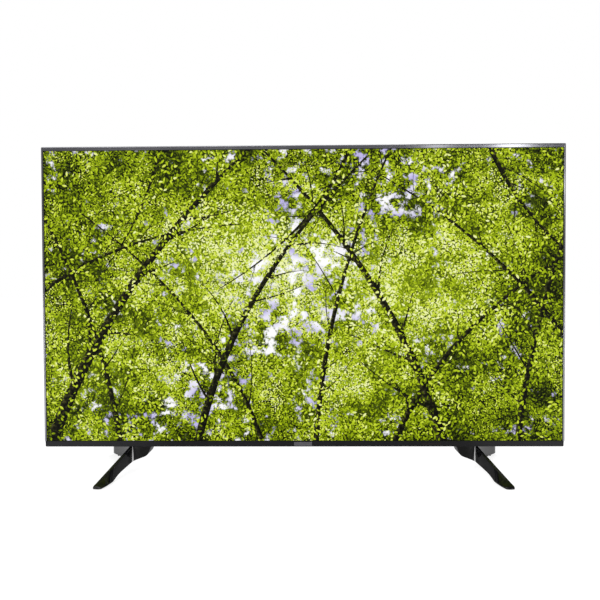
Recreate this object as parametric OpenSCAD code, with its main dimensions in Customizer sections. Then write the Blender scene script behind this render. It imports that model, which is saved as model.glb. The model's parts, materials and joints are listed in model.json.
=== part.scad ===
// Flat screen television on two splayed feet.
// X runs along the screen to the viewer's right, Y runs back from the viewer, Z is up.
// The origin is on the floor, midway between the foot tips.

/* [Screen] */
// Width of the lit picture
screen_w = 1209.6; // [1100:0.1:1300]
// Height of the lit picture
screen_h = 680.4; // [620:0.1:740]
// Black margin left showing round the picture
screen_margin = 1; // [0.5:0.1:2]
// Room between the edge of the glass and the bezel walls
glass_room = 1; // [0.6:0.1:1.6]
// Thickness of the liquid crystal glass
glass_t = 1.4; // [1:0.1:2]
// Thickness of the foam gasket in front of the glass
gasket_t = 0.4; // [0.3:0.1:0.8]

/* [Bezel] */
// Width of the metal lip at the two sides
side_lip = 5; // [4.5:0.1:7]
// Width of the metal lip along the top
top_lip = 9; // [7:0.1:11]
// Height of the plastic bar along the bottom
bottom_bar = 13; // [12.5:0.1:18]
// Thickness of the lips in front of the glass
lip_t = 1.2; // [1:0.1:2]
// Thickness of the bezel's side walls
bezel_wall = 1.2; // [1:0.1:1.6]
// How far the bezel walls reach back over the rear cover
bezel_over = 4; // [3:0.1:5.5]
// Bevel on the metal bezel's outer front edge
bezel_bevel = 2; // [0.8:0.1:2.4]
// Bevel on the lower front edge of the bar
bar_bevel = 0.8; // [0.4:0.1:1]
// Radius of the outer corners
corner_r = 3; // [2:0.1:4]
// How far the bar's ends stay inside the bezel's sides
bar_inset = 3; // [2:0.1:3.5]
// Wall thickness of the bar
bar_wall = 2; // [1.6:0.1:2.4]
// How far the bar reaches up in front of the glass
bar_grip = 3; // [2:0.1:4]

/* [Badge and receiver] */
// Width of the plain badge plate in the middle of the bar
badge_w = 42; // [30:1:80]
// Height of the badge plate
badge_h = 9; // [4:0.1:10]
// Thickness of the badge plate
badge_t = 0.6; // [0.4:0.1:1]
// Distance of the receiver window from the middle
receiver_x = 300; // [280:1:320]
// Width of the receiver window
receiver_w = 46; // [30:1:60]
// Height of the receiver window
receiver_h = 5; // [4:0.1:6]

/* [Backlight] */
// Thickness of the middle frame's ledge
ledge_t = 1.8; // [1.2:0.1:2.5]
// Wall of the middle frame
frame_wall = 1.5; // [1.2:0.1:2]
// Thickness of each optical sheet
film_t = 0.4; // [0.3:0.1:0.6]
// Thickness of the diffuser plate
plate_t = 2; // [1.5:0.1:3]
// Thickness of the backlight tray's steel
sheet_t = 0.8; // [0.6:0.1:1.2]
// Depth of the backlight tray
tray_depth = 20; // [17:0.5:24]
// Width of the tray's flange
flange_w = 10; // [9.5:0.5:12]
// How far the tray's sides slope inwards
tray_slope = 24; // [20:0.5:28]
// Rows of lamps
led_rows = 6; // [4:1:8]
// Lamps in each row
led_columns = 10; // [6:1:12]
// Height of a lamp bar
led_bar_h = 16; // [15.5:0.5:20]
// Thickness of a lamp bar
led_bar_t = 1; // [0.8:0.1:1.5]
// Radius of a lamp lens
lens_r = 7.5; // [5:0.1:7.7]
// Depth of a lamp lens
lens_h = 6; // [4:0.1:8]
// Thickness of the reflector sheet
reflector_t = 0.5; // [0.4:0.1:0.8]

/* [Rear cover] */
// Wall of the rear cover
cover_wall = 2.5; // [2:0.1:3]
// Straight rim of the cover before it tapers
rim_depth = 6; // [6:0.5:8]
// Width of the tapered border round the slim part
edge_taper = 55; // [45:1:60]
// Free depth behind the tray in the slim part
slim_room = 9; // [8:0.5:12]
// How far the housing stands out behind the slim part
house_rise = 32; // [30:0.5:38]
// Width of the housing where it leaves the slim part
house_w = 960; // [920:1:1000]
// Height of the housing from the bottom of the screen
house_h = 455; // [445:1:480]
// How far the housing's sides slope inwards
house_taper = 28; // [20:1:30]
// Slots in each cooling vent
vent_count = 22; // [10:1:24]
// Distance from slot to slot
vent_pitch = 11; // [9:0.5:11.5]
// Width of a slot
vent_w = 4; // [2:0.5:5]
// Length of a slot
vent_l = 46; // [30:1:60]

/* [Wall mount] */
// Spacing of the wall mount's four holes
mount_pitch = 200; // [198:1:202]
// Distance of the wall mount's middle below the top of the housing's flat back
mount_drop = 127; // [122:1:132]
// Radius of a mounting hole
mount_hole_r = 3; // [2.5:0.1:4]
// Depth of a mounting hole
mount_hole_l = 25; // [15:1:30]
// Radius of a mounting post
mount_post_r = 8; // [7:0.1:10]

/* [Boards] */
// How far the boards stand behind the cover's slim part
board_rise = 2.5; // [2:0.1:4]
// Thickness of a circuit board
board_t = 1.6; // [1.2:0.1:2]
// Width of the main board
main_w = 185; // [180:1:190]
// Width of the power board
power_w = 180; // [175:1:190]
// Height of the power board
power_h = 170; // [165:1:180]
// Width of the panel driver board
driver_w = 150; // [146:1:160]
// Height of the panel driver board
driver_h = 34; // [32:1:38]
// Length of each edge board under the glass
edge_board_l = 560; // [550:1:580]

/* [Sockets] */
// Distance of the socket walls from the middle
bay_x = 340; // [335:1:350]
// Height of the socket bays' floors above the bottom bar
bay_z = 95; // [92:1:100]
// Height of the main socket bay
bay_h = 200; // [200:1:210]
// Height of the mains bay
mains_h = 60; // [40:1:80]
// Height of the lowest socket's edge above the bay's floor
socket_low = 8.5; // [8:0.1:10]
// Gap between neighbouring sockets
socket_gap = 6; // [4:0.1:6.8]
// Radius of the aerial socket's barrel
aerial_r = 4.75; // [4.5:0.01:5]
// Length of the aerial socket's barrel outside the wall
aerial_l = 10; // [8:0.5:12]
// Radius of the headphone socket's bore
headphone_r = 1.8; // [1.75:0.01:2]

/* [Speakers] */
// Distance of each speaker's cone from the middle
speaker_x = 285; // [270:1:300]
// Width of a speaker box, inwards from the foot's bracket
speaker_w = 140; // [120:1:170]
// Height of a speaker box
speaker_h = 46; // [44:1:50]
// Depth of a speaker box
speaker_d = 38; // [37:0.5:40]
// Wall of a speaker box
speaker_wall = 2; // [1.5:0.1:2]
// Outer radius of the speaker's cone
cone_r = 13; // [12:0.1:13.2]

/* [Power key] */
// Width of the power key
key_w = 14; // [10:0.1:18]
// Depth of the power key from front to back
key_d = 6; // [5:0.1:8]
// How far the key stands out under the cover
key_out = 1.8; // [1:0.1:2]
// Travel of the key
key_travel = 0.8; // [0.5:0.1:1.2]

/* [Feet] */
// Height of the bottom bar above the floor
stand_h = 65; // [58:0.5:80]
// Distance from the front foot tips to the rear ones
foot_depth = 270; // [250:1:300]
// How far the front tips reach ahead of the screen
foot_front = 105; // [95:1:115]
// Distance of each foot's knee from the middle
foot_x = 408; // [404:1:414]
// How far the front leg swings outwards
front_splay = 48; // [40:1:70]
// How far the rear leg swings outwards
rear_splay = 96; // [70:1:110]
// Thickness of a leg
leg_t = 8; // [7.2:0.1:9]
// How much wider the front leg's sole grows towards the toe
toe_w = 14; // [8:0.5:18]
// Height of the front leg's tip
front_tip_h = 5; // [4.5:0.1:8]
// Height of the rear leg's tip
rear_tip_h = 22; // [18:0.1:26]
// Height of the underside at the knee
knee_h = 24; // [20:0.5:30]
// Width of the foot's head inside the knee
head_w = 46; // [42:0.5:48]
// Depth of the foot's head from front to back
head_d = 46; // [44:0.5:46]
// Height of the head's underside at its inner end
head_z = 37; // [34:0.5:40]
// Size of the hollow bend between the head and the front leg
knee_bend = 12; // [8:0.5:14]
// Radius of a rubber foot pad
pad_r = 3.2; // [2.5:0.1:3.4]
// Thickness of a rubber foot pad
pad_t = 1.5; // [1.2:0.1:2.5]
// Radius of a foot screw
foot_screw_r = 2; // [1.5:0.1:2.5]

/* [Fits] */
// Gap between parts that slot together
fit_gap = 0.2; // [0.1:0.05:0.3]
// Gap round a screw or a pin
screw_gap = 0.1; // [0.05:0.01:0.2]
// Gap round the optical sheets
film_gap = 0.5; // [0.3:0.1:0.8]

/* [Hidden] */
$fn = 48;
eps = 0.02;

// Whole body and the stack of layers behind the glass
body_w = screen_w + 2 * (screen_margin + side_lip);
body_h = screen_h + 2 * screen_margin + top_lip + bottom_bar;
half_w = body_w / 2;
front_y = foot_front - foot_depth / 2;
inner_bevel = 0.4;
glass_y = lip_t + gasket_t;
ledge_y = glass_y + glass_t;
film_y = ledge_y + ledge_t;
plate_y = film_y + 2 * film_t;
flange_y = plate_y + plate_t;
rim_y = flange_y + sheet_t;
floor_y = flange_y + tray_depth;
tray_y = floor_y + sheet_t;
slim_y = tray_y + slim_room + cover_wall;
house_y = slim_y + house_rise;
bezel_d = rim_y + bezel_over;

// Glass, middle frame and tray outlines: [left and right, bottom and top]
inner_x = half_w - bezel_wall;
inner_z = body_h - bezel_wall;
glass_x = inner_x - glass_room;
glass_z = [bottom_bar - bar_grip, inner_z - glass_room];
frame_drop = 1;
frame_x = inner_x - fit_gap;
frame_z = [glass_z[0] - frame_drop, inner_z - fit_gap];
window_gap = 0.5;
window_x = screen_w / 2 + window_gap;
window_z = [bottom_bar + screen_margin - window_gap, bottom_bar + screen_margin + screen_h + window_gap];
pocket_x = frame_x - frame_wall;
pocket_z = [frame_z[0] + frame_wall, frame_z[1] - frame_wall];
tray_x = pocket_x - film_gap;
tray_z = [pocket_z[0] + film_gap, pocket_z[1] - film_gap];
tray_in = flange_w + tray_slope + sheet_t;
tray_floor_x = tray_x - tray_in;
tray_floor_z = [tray_z[0] + tray_in, tray_z[1] - tray_in];
reflector_gap = 0.3;
led_margin = 12;

// Rear cover outlines
cover_x = inner_x - fit_gap;
cover_z = [bar_wall + fit_gap, inner_z - fit_gap];
cover_floor = cover_z[0] + cover_wall;
board_y = slim_y + board_rise;
board_back = board_y + board_t;
house_floor_y = house_y - cover_wall;
mount_z = house_h - house_taper - mount_drop;

// Cover screws: on the slim part, on the housing and low between the speakers
screw_inset = 25;
screw_x = cover_x - edge_taper - screw_inset;
screw_top_z = cover_z[1] - edge_taper - screw_inset;
screw_low_z = tray_floor_z[0] + screw_inset;
well_x = house_w / 2 - house_taper - screw_inset;
well_z = house_h - house_taper - 2 * screw_inset;
top_screw_x = 180;
low_well_x = 170;
slim_screws = [for (s = [-1, 1]) each [
    [s * screw_x, screw_low_z],
    [s * screw_x, (screw_low_z + screw_top_z) / 2],
    [s * screw_x, screw_top_z],
    [s * top_screw_x, screw_top_z]]];
deep_screws = [for (s = [-1, 1]) each [[s * well_x, well_z], [s * low_well_x, screw_low_z]]];
cover_screw_r = 1.5;
cover_head_r = 3.8;
cover_head_h = 2;
well_r = cover_head_r + 0.8;
well_wall = 1.8;
seat_y = tray_y + 5;

// Circuit boards: left, right, bottom and top edges
edge_room = 0.5;
main_x = [bay_x - cover_wall - edge_room - main_w, bay_x - cover_wall - edge_room];
board_sill = 3;
main_z = [bay_z - board_sill, bay_z + bay_h + board_sill];
power_x = [-main_x[1], -main_x[1] + power_w];
power_z = [main_z[0], main_z[0] + power_h];
driver_x = [-driver_w / 2, driver_w / 2];
driver_low = 66;
driver_z = [driver_low, driver_low + driver_h];
driver_rise = 5;
driver_y = tray_y + driver_rise;
standoff_r = 3.5;
standoff_in = 7;
board_screw_r = 1.4;
board_head_r = 2.8;
board_head_h = 1.8;
board_screw_l = 4;

// Parts on the boards: width, depth and height, and the distance from the board's lower left corner
chip = [14, 1.4, 10];
chip_at = [112, 70];
chip_pitch = 16;
coil = [9, 4, 9];
coil_at = [20, 130];
coil_pitch = 14;
can_r = 4;
can_h = 10;
can_at = [60, 160];
can_pitch = 13;
sink = [64, 60];
sink_at = [38, 60];
core = [46, 20, 40];
core_at = [84, 84];
winding = [30, 22, 52];
winding_at = [92, 78];
big_can_r = 9;
big_can_l = 40;
big_can_at = [24, 88];
big_can_pitch = 24;
filter_coil = [24, 18, 24];
filter_at = [[40, 22], [76, 22]];
power_sink = [4, 20, 56];
power_sink_at = [[70, 76], [146, 76]];
plug_w = 12;
plug_at = [14, 28];

// Sockets: width, depth and length of each kind
aerial_size = [15, 15, 16];
ethernet_size = [16, 13.5, 20];
hdmi_size = [15.5, 6.4, 12];
optical_size = [10, 10, 13];
headphone_size = [12, 7, 14];
usb_size = [14.5, 7.2, 14];
mains_size = [22, 14, 20];

// Sockets stand in one row: the height of each one's middle above the bay's floor
function step_up(below, above) = below[0] / 2 + socket_gap + above[0] / 2;
aerial_up = socket_low + aerial_size[0] / 2;
ethernet_up = aerial_up + step_up(aerial_size, ethernet_size);
hdmi_up = [for (k = [0:2])
    ethernet_up + step_up(ethernet_size, hdmi_size) + k * step_up(hdmi_size, hdmi_size)];
optical_up = hdmi_up[2] + step_up(hdmi_size, optical_size);
headphone_up = optical_up + step_up(optical_size, headphone_size);
usb_up = [for (k = [0:1])
    headphone_up + step_up(headphone_size, usb_size) + k * step_up(usb_size, usb_size)];
socket_shell = 0.6;
hdmi_tongue = 1;
usb_tongue = 1.6;
aerial_collar_r = aerial_r + 1.5;
aerial_collar_out = 1;
aerial_y = board_back + aerial_size[1] / 2;
mains_up = mains_h / 2;
mains_pin_r = 1.2;
mains_pin_pitch = 8.6;

// Speakers: seat of the driver and the vent slots under it
speaker_gap = 0.3;
speaker_room = 2;
speaker_rest = 1.2;
speaker_y = [house_floor_y - speaker_gap - speaker_d, house_floor_y - speaker_gap];
speaker_z = [cover_floor, cover_floor + speaker_h];
driver_axis_y = (speaker_y[0] + speaker_y[1]) / 2;
cone_gap = 0.2;
rim_in = cone_r + cone_gap;
rim_out = rim_in + 3.2;
grille_pitch = 7;
grille_w = 3;
grille_l = 24;
grille_count = 13;

// Power key
key_y = 24;
key_flange = 1.5;
key_flange_t = 1.2;
switch_gap = 0.1;
key_top = cover_floor + key_flange_t;
switch_z = key_top + key_travel + switch_gap;
switch_h = 4;
key_board_w = 44;
key_board_d = 12;
key_post_r = 2.5;

// Feet and their brackets
apex_back = 48;
apex_y = front_y + apex_back;
seat_z = stand_h + cover_z[0];
leg_bow = 1.35;
top_power = 1.28;
arch_power = 1.6;
sole_start = 0.68;
toe_start = 0.45;
toe_over = 2.1;
nose_start = [0.95, 0.92];
leg_round = 3;
leg_steps = 18;
round_steps = 3;
head_in = foot_x - head_w;
head_lean = 11;
head_round = 9;
head_setback = 4;
head_front = front_y + house_y - head_d - head_setback;
head_over = 8;
bend_steps = 6;
foot_screw_in = 23;
foot_screw_x = foot_x - foot_screw_in;
foot_screw_inset = 13;
foot_screw_y = [head_front + foot_screw_inset, head_front + head_d - foot_screw_inset];
foot_flange = 8;
foot_head_r = 3.8;
foot_head_h = 2.6;
bracket_t = 2;
bracket_w = 56;
bracket_h = 86;
bracket_end = 3;
bracket_d = house_floor_y - bracket_end - tray_y;
bracket_screws_z = [62, 78];

// Leads and ribbons inside
lead_r = 1.5;
ribbon_t = 0.8;
ribbon_w = 16;
ribbon_z = 112;
lead_y = tray_y + lead_r + 0.3;
plug_up = 8;
plug_h = 6;
plug_in = 8;
plug_y = board_back + 2;
lamp_plug_x = -184;
left_route = [[-240, 50, speaker_z[1]], [-240, 50, speaker_z[1] + 9], [-238, 46, 70], [-230, 36, 79],
    [-216, lead_y, 84], [-120, lead_y, 84], [0, lead_y, 84], [120, lead_y, 84], [146, lead_y, 84],
    [160, 36, 84], [169, 43, 85], [172, plug_y, 89], [172, plug_y, main_z[0] + plug_up]];
right_route = [[240, 50, speaker_z[1]], [240, 50, speaker_z[1] + 10], [232, 49, 72], [208, plug_y, 82],
    [190, plug_y, 88], [186, plug_y, main_z[0] + 2], [186, plug_y, main_z[0] + plug_up]];
lamp_route = [for (p = [[plug_y, plug_up], [plug_y, 1], [plug_y - 3, -3], [39, -4], [tray_y, -4]])
    [lamp_plug_x, p[0], power_z[0] + p[1]]];

// Shared shapes. A slab takes the low and high end along each axis.
module slab(x, y, z) {
    translate([x[0], y[0], z[0]])
        cube([x[1] - x[0], y[1] - y[0], z[1] - z[0]]);
}

module rod_x(x, y, z, r) {
    translate([x[0], y, z])
        rotate([0, 90, 0])
            cylinder(r = r, h = x[1] - x[0]);
}

module rod_y(x, y, z, r) {
    translate([x, y[0], z])
        rotate([-90, 0, 0])
            cylinder(r = r, h = y[1] - y[0]);
}

module rod_z(x, y, z, r) {
    translate([x, y, z[0]])
        cylinder(r = r, h = z[1] - z[0]);
}

// Carries a flat outline, drawn in X and Z, from y[0] back to y[1]
module sheet_y(y) {
    translate([0, y[1], 0])
        rotate([90, 0, 0])
            linear_extrude(y[1] - y[0])
                children();
}

// Carries a profile, drawn in Y and Z, from x[0] to x[1]
module bar_x(x) {
    translate([x[0], 0, 0])
        rotate([90, 0, 90])
            linear_extrude(x[1] - x[0])
                children();
}

// Outline of a panel that is round at its two upper corners
module round_top(x, z, r) {
    translate([-x, z[0]])
        square([2 * x, z[1] - z[0] - r]);
    translate([-x + r, z[0]])
        square([2 * (x - r), z[1] - z[0]]);
    for (s = [-1, 1])
        translate([s * (x - r), z[1] - r])
            circle(r);
}

// Block whose front and back are rectangles of different sizes: each is [x range, z range]
module taper(front, back, y) {
    polyhedron(
        [for (end = [[front, y[0]], [back, y[1]]], k = [0, 1], i = [0, 1])
            [end[0][0][i], end[1], end[0][1][k]]],
        [[0, 2, 3, 1], [5, 7, 6, 4], [0, 1, 5, 4], [2, 6, 7, 3], [0, 4, 6, 2], [1, 3, 7, 5]]);
}

// Screw that points up, with a cross slot in its head below
module screw(r, l, head_r, head_h) {
    slot = head_h / 2;
    difference() {
        union() {
            cylinder(r = r, h = l);
            translate([0, 0, -head_h])
                cylinder(r = head_r, h = head_h);
        }
        for (a = [0, 90])
            rotate(a)
                translate([-head_r * 0.6, -slot / 2, -head_h - eps])
                    cube([head_r * 1.2, slot, slot + eps]);
    }
}

// Screw driven forwards from behind, with its head seated at y
module screw_from_behind(x, y, z, r, l, head_r, head_h) {
    translate([x, y, z])
        rotate([90, 0, 0])
            screw(r, l, head_r, head_h);
}

// Everything above the floor sits in the body's own frame
module in_body() {
    translate([0, front_y, stand_h])
        children();
}

// Round tube swept along a route, with 8 sides
function ring_across(p, d, r) =
    let (u = cross(d, [0.2, 0.7, 0.5]), a = u / norm(u), b = cross(d, a) / norm(d))
    [for (k = [0:7]) p + r * (cos(45 * k) * a + sin(45 * k) * b)];

module tube(route, r) {
    n = len(route);
    rings = [for (i = [0:n - 1])
        let (d = route[min(i + 1, n - 1)] - route[max(i - 1, 0)])
        ring_across(route[i], d, r)];
    swept(rings, 8);
}

// Closed skin over a row of rings that all have the same number of points
module swept(rings, sides) {
    n = len(rings);
    polyhedron(
        [for (ring = rings) each ring],
        concat(
            [[for (k = [sides - 1:-1:0]) k]],
            [[for (k = [0:sides - 1]) (n - 1) * sides + k]],
            [for (i = [0:n - 2], k = [0:sides - 1])
                let (a = i * sides + k, b = i * sides + (k + 1) % sides)
                each [[a, b, b + sides], [a, b + sides, a + sides]]]));
}

// Glass and bezel
module lcd_glass() {
    color("#1c3a10")
        slab([-glass_x, glass_x], [glass_y, ledge_y], glass_z);
}

module glass_gasket() {
    margin_x = screen_w / 2 + screen_margin;
    color("#202020")
        difference() {
            slab([-glass_x, glass_x], [lip_t, glass_y], glass_z);
            slab([-margin_x, margin_x], [0, ledge_y], [bottom_bar, body_h - top_lip]);
        }
}

// Section of a metal bezel: distance in from the outer face, then depth, with a smaller bevel inside
function bezel_section(lip) =
    let (inner = bezel_bevel * inner_bevel)
    [[0, bezel_bevel], [bezel_bevel, 0], [lip, 0], [lip, lip_t],
        [bezel_wall + inner, lip_t], [bezel_wall, lip_t + inner], [bezel_wall, bezel_d], [0, bezel_d]];

// The three metal bezels meet in a mitre and share one rounded outline
module bezel_part(miter) {
    color("#6c6c72")
        intersection() {
            children();
            sheet_y([-1, bezel_d + 1])
                polygon(miter);
            sheet_y([-1, bezel_d + 1])
                round_top(half_w, [0, body_h], corner_r);
        }
}

module top_bezel() {
    bezel_part([[-half_w, body_h], [half_w, body_h], [half_w - bezel_bevel, body_h - bezel_bevel],
        [half_w - side_lip, body_h - top_lip], [-half_w + side_lip, body_h - top_lip],
        [-half_w + bezel_bevel, body_h - bezel_bevel]])
        bar_x([-half_w, half_w])
            polygon([for (p = bezel_section(top_lip)) [p[1], body_h - p[0]]]);
}

module side_bezel(s) {
    bezel_part([[s * half_w, body_h], [s * (half_w - bezel_bevel), body_h - bezel_bevel],
        [s * (half_w - side_lip), body_h - top_lip],
        [s * (half_w - side_lip), 0], [s * half_w, 0]])
        translate([0, 0, bottom_bar])
            linear_extrude(body_h - bottom_bar)
                polygon([for (p = bezel_section(side_lip)) [s * (half_w - p[0]), p[1]]]);
}

module left_bezel() side_bezel(-1);

module right_bezel() side_bezel(1);

module bottom_bezel() {
    end_x = half_w - bar_inset;
    step_z = glass_z[0] - fit_gap;
    color("#2b2b2f")
        difference() {
            intersection() {
                union() {
                    bar_x([-end_x, end_x])
                        polygon([[0, bar_bevel], [bar_bevel, 0], [bezel_d, 0], [bezel_d, bar_wall],
                            [bar_wall, bar_wall], [bar_wall, step_z], [lip_t, step_z],
                            [lip_t, bottom_bar], [0, bottom_bar]]);
                    for (s = [-1, 1])
                        translate([s * (end_x - bar_wall / 2), 0, 0])
                            slab([-bar_wall / 2, bar_wall / 2], [bar_bevel, rim_y - fit_gap],
                                [bar_bevel, frame_z[0] - fit_gap]);
                }
                sheet_y([-1, bezel_d + 1])
                    mirror([0, 1])
                        round_top(end_x, [-bottom_bar, 0], corner_r);
            }
            receiver_space(fit_gap);
        }
}

module badge_plate() {
    middle_z = bottom_bar / 2;
    color("#b4b4b8")
        slab([-badge_w / 2, badge_w / 2], [-badge_t, 0],
            [middle_z - badge_h / 2, middle_z + badge_h / 2]);
}

// Opening of the receiver window, grown all round by a gap
module receiver_space(gap) {
    middle_z = (bar_wall + glass_z[0]) / 2;
    slab([receiver_x - receiver_w / 2 - gap, receiver_x + receiver_w / 2 + gap],
        gap > 0 ? [-1, bar_wall + 1] : [0, bar_wall],
        [middle_z - receiver_h / 2 - gap, middle_z + receiver_h / 2 + gap]);
}

module receiver_window() {
    color("#3a3436")
        receiver_space(0);
}

module receiver_board() {
    board_w = 40;
    eye_w = 6;
    eye_d = 3;
    eye_y = bar_wall + fit_gap;
    color("#1d5c2c") {
        slab([receiver_x - board_w / 2, receiver_x + board_w / 2], [eye_y + eye_d, eye_y + eye_d + 1.2],
            [bar_wall, glass_z[0] - 1.5]);
        for (s = [-1, 1])
            slab([receiver_x + 2 * s * eye_w - eye_w / 2, receiver_x + 2 * s * eye_w + eye_w / 2],
                [eye_y, eye_y + eye_d], [bar_wall + 1, bar_wall + 1 + receiver_h]);
    }
}

// Backlight, from the middle frame back to the steel tray
module middle_frame() {
    color("#e8e6e0")
        difference() {
            slab([-frame_x, frame_x], [ledge_y, rim_y], frame_z);
            slab([-window_x, window_x], [0, rim_y + 1], window_z);
            slab([-pocket_x, pocket_x], [film_y, rim_y + 1], pocket_z);
        }
}

module prism_sheet() {
    color("#d8e2ea")
        slab([-tray_x, tray_x], [film_y, film_y + film_t], tray_z);
}

module diffuser_sheet() {
    color("#f2f2f0")
        slab([-tray_x, tray_x], [film_y + film_t, plate_y], tray_z);
}

module diffuser_plate() {
    color("#fafaf6")
        slab([-tray_x, tray_x], [plate_y, flange_y], tray_z);
}

// Rectangle inside the tray's sloping walls at depth y, drawn in by a further amount
function tray_inside(y, inset) =
    let (d = flange_w + sheet_t + tray_slope * (y - flange_y) / tray_depth + inset)
    [[-tray_x + d, tray_x - d], [tray_z[0] + d, tray_z[1] - d]];

module backlight_tray() {
    back = tray_inside(tray_y, -sheet_t);
    color("#a8acb0")
        difference() {
            union() {
                slab([-tray_x, tray_x], [flange_y, rim_y], tray_z);
                taper(tray_inside(flange_y, -sheet_t), back, [flange_y, tray_y]);
            }
            taper(tray_inside(flange_y - 1, 0), tray_inside(floor_y, 0), [flange_y - 1, floor_y]);
            for (p = concat(slim_screws, deep_screws))
                rod_y(p[0], [floor_y - 1, tray_y + 1], p[1], cover_screw_r + screw_gap);
            for (s = [-1, 1], z = bracket_screws_z)
                rod_y(s * foot_screw_x, [floor_y - 1, tray_y + 1], z, board_screw_r + screw_gap);
        }
}

// Places something at every lamp, on the front of the lamp bars
module at_lamps() {
    pitch_x = 2 * (tray_floor_x - led_margin) / led_columns;
    pitch_z = (tray_floor_z[1] - tray_floor_z[0]) / led_rows;
    for (i = [0:led_columns - 1], k = [0:led_rows - 1])
        translate([(i - (led_columns - 1) / 2) * pitch_x, floor_y - led_bar_t,
            tray_floor_z[0] + (k + 0.5) * pitch_z])
            rotate([90, 0, 0])
                children();
}

module reflector_sheet() {
    back_y = floor_y - led_bar_t;
    lens_room = 0.5;
    color("#f6f6f4")
        difference() {
            taper(tray_inside(flange_y, reflector_gap), tray_inside(back_y, reflector_gap),
                [flange_y, back_y]);
            taper(tray_inside(flange_y - 1, reflector_gap + reflector_t),
                tray_inside(back_y - reflector_t, reflector_gap + reflector_t),
                [flange_y - 1, back_y - reflector_t]);
            at_lamps()
                translate([0, 0, -1])
                    cylinder(r = lens_r + lens_room, h = lens_h);
        }
}

module led_bars() {
    pitch_z = (tray_floor_z[1] - tray_floor_z[0]) / led_rows;
    bar_l = tray_floor_x - led_margin;
    color("#dcdcd4")
        for (k = [0:led_rows - 1])
            translate([0, 0, tray_floor_z[0] + (k + 0.5) * pitch_z])
                slab([-bar_l, bar_l], [floor_y - led_bar_t, floor_y], [-led_bar_h / 2, led_bar_h / 2]);
}

module led_lenses() {
    color("#eef4f8")
        at_lamps()
            rotate_extrude()
                polygon([[0, 0], [lens_r, 0], [lens_r, lens_h * 0.3], [lens_r * 0.65, lens_h * 0.9],
                    [lens_r * 0.3, lens_h], [0, lens_h * 0.75]]);
}

// Wall mount posts stand on the tray and end level with the back of the housing
module at_mounts() {
    for (i = [-1, 1], k = [-1, 1])
        translate([i * mount_pitch / 2, 0, mount_z + k * mount_pitch / 2])
            children();
}

module wall_mount_posts() {
    color("#c8cacc")
        at_mounts()
            difference() {
                rod_y(0, [tray_y, house_y], 0, mount_post_r);
                rod_y(0, [house_y - mount_hole_l, house_y + 1], 0, mount_hole_r);
            }
}

// Circuit boards
function corners_of(x, z) = [for (i = [x[0] + standoff_in, x[1] - standoff_in],
    k = [z[0] + standoff_in, z[1] - standoff_in]) [i, k]];

board_posts = concat(corners_of(main_x, main_z), corners_of(power_x, power_z));
driver_posts = corners_of(driver_x, driver_z);

module board_standoffs() {
    hole_l = board_screw_l + 1;
    color("#c0c2c4") {
        for (p = board_posts)
            difference() {
                rod_y(p[0], [tray_y, board_y], p[1], standoff_r);
                rod_y(p[0], [board_y - hole_l, board_y + 1], p[1], board_screw_r + screw_gap);
            }
        for (p = driver_posts)
            difference() {
                rod_y(p[0], [tray_y, driver_y], p[1], standoff_r);
                rod_y(p[0], [tray_y + eps, driver_y + 1], p[1], board_screw_r + screw_gap);
            }
    }
}

module bored_board(x, y, z, posts) {
    difference() {
        slab(x, [y, y + board_t], z);
        for (p = posts)
            rod_y(p[0], [y - 1, y + board_t + 1], p[1], board_screw_r + screw_gap);
    }
}

module main_board() {
    color("#1f6b33")
        bored_board(main_x, board_y, main_z, corners_of(main_x, main_z));
}

module power_board() {
    color("#b98d4a")
        bored_board(power_x, board_y, power_z, corners_of(power_x, power_z));
}

module driver_board() {
    color("#1f6b33")
        bored_board(driver_x, driver_y, driver_z, driver_posts);
}

module board_screws() {
    color("#d0d2d4") {
        for (p = board_posts)
            screw_from_behind(p[0], board_back, p[1], board_screw_r, board_t + board_screw_l,
                board_head_r, board_head_h);
        for (p = driver_posts)
            screw_from_behind(p[0], driver_y + board_t, p[1], board_screw_r,
                board_t + driver_rise - 1, board_head_r, board_head_h);
    }
}

// A part on a board's back, given by its distance from the board's inner lower corner and its size
module board_block(x, z, at, size) {
    slab([x + at[0], x + at[0] + size[0]], [board_back, board_back + size[1]],
        [z + at[1], z + at[1] + size[2]]);
}

// Memory, coils, cable plugs and capacitors on the main board
module main_board_parts() {
    color("#26282a") {
        for (k = [0:2])
            board_block(main_x[0], main_z[0], chip_at + [0, k * chip_pitch], chip);
        for (k = [0:3])
            board_block(main_x[0], main_z[0], coil_at + [0, k * coil_pitch], coil);
        for (at = plug_at)
            board_block(main_x[0], main_z[0], [at, plug_up], [plug_w, plug_h, plug_h]);
        board_block(main_x[0], main_z[0], [plug_in, ribbon_z - main_z[0]], [plug_h, plug_h, ribbon_w]);
        for (k = [0:4])
            rod_y(main_x[0] + can_at[0] + k * can_pitch, [board_back, board_back + can_h],
                main_z[0] + can_at[1], can_r);
    }
}

module processor_heatsink() {
    base_t = 3;
    fin_h = 14;
    fin_t = 2;
    fin_count = 8;
    pitch = (sink[0] - fin_t) / (fin_count - 1);
    color("#8c9094")
        union() {
            board_block(main_x[0], main_z[0], sink_at, [sink[0], base_t, sink[1]]);
            for (k = [0:fin_count - 1])
                board_block(main_x[0], main_z[0], sink_at + [k * pitch, 0],
                    [fin_t, base_t + fin_h, sink[1]]);
        }
}

// Outer block of a socket on the right-hand wall, with its mouth at the wall's face
module socket_block(up, size, gap) {
    slab([bay_x - size[2], bay_x + (gap > 0 ? 1 : 0)], [board_back - gap, board_back + size[1] + gap],
        [bay_z + up - size[0] / 2 - gap, bay_z + up + size[0] / 2 + gap]);
}

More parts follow.
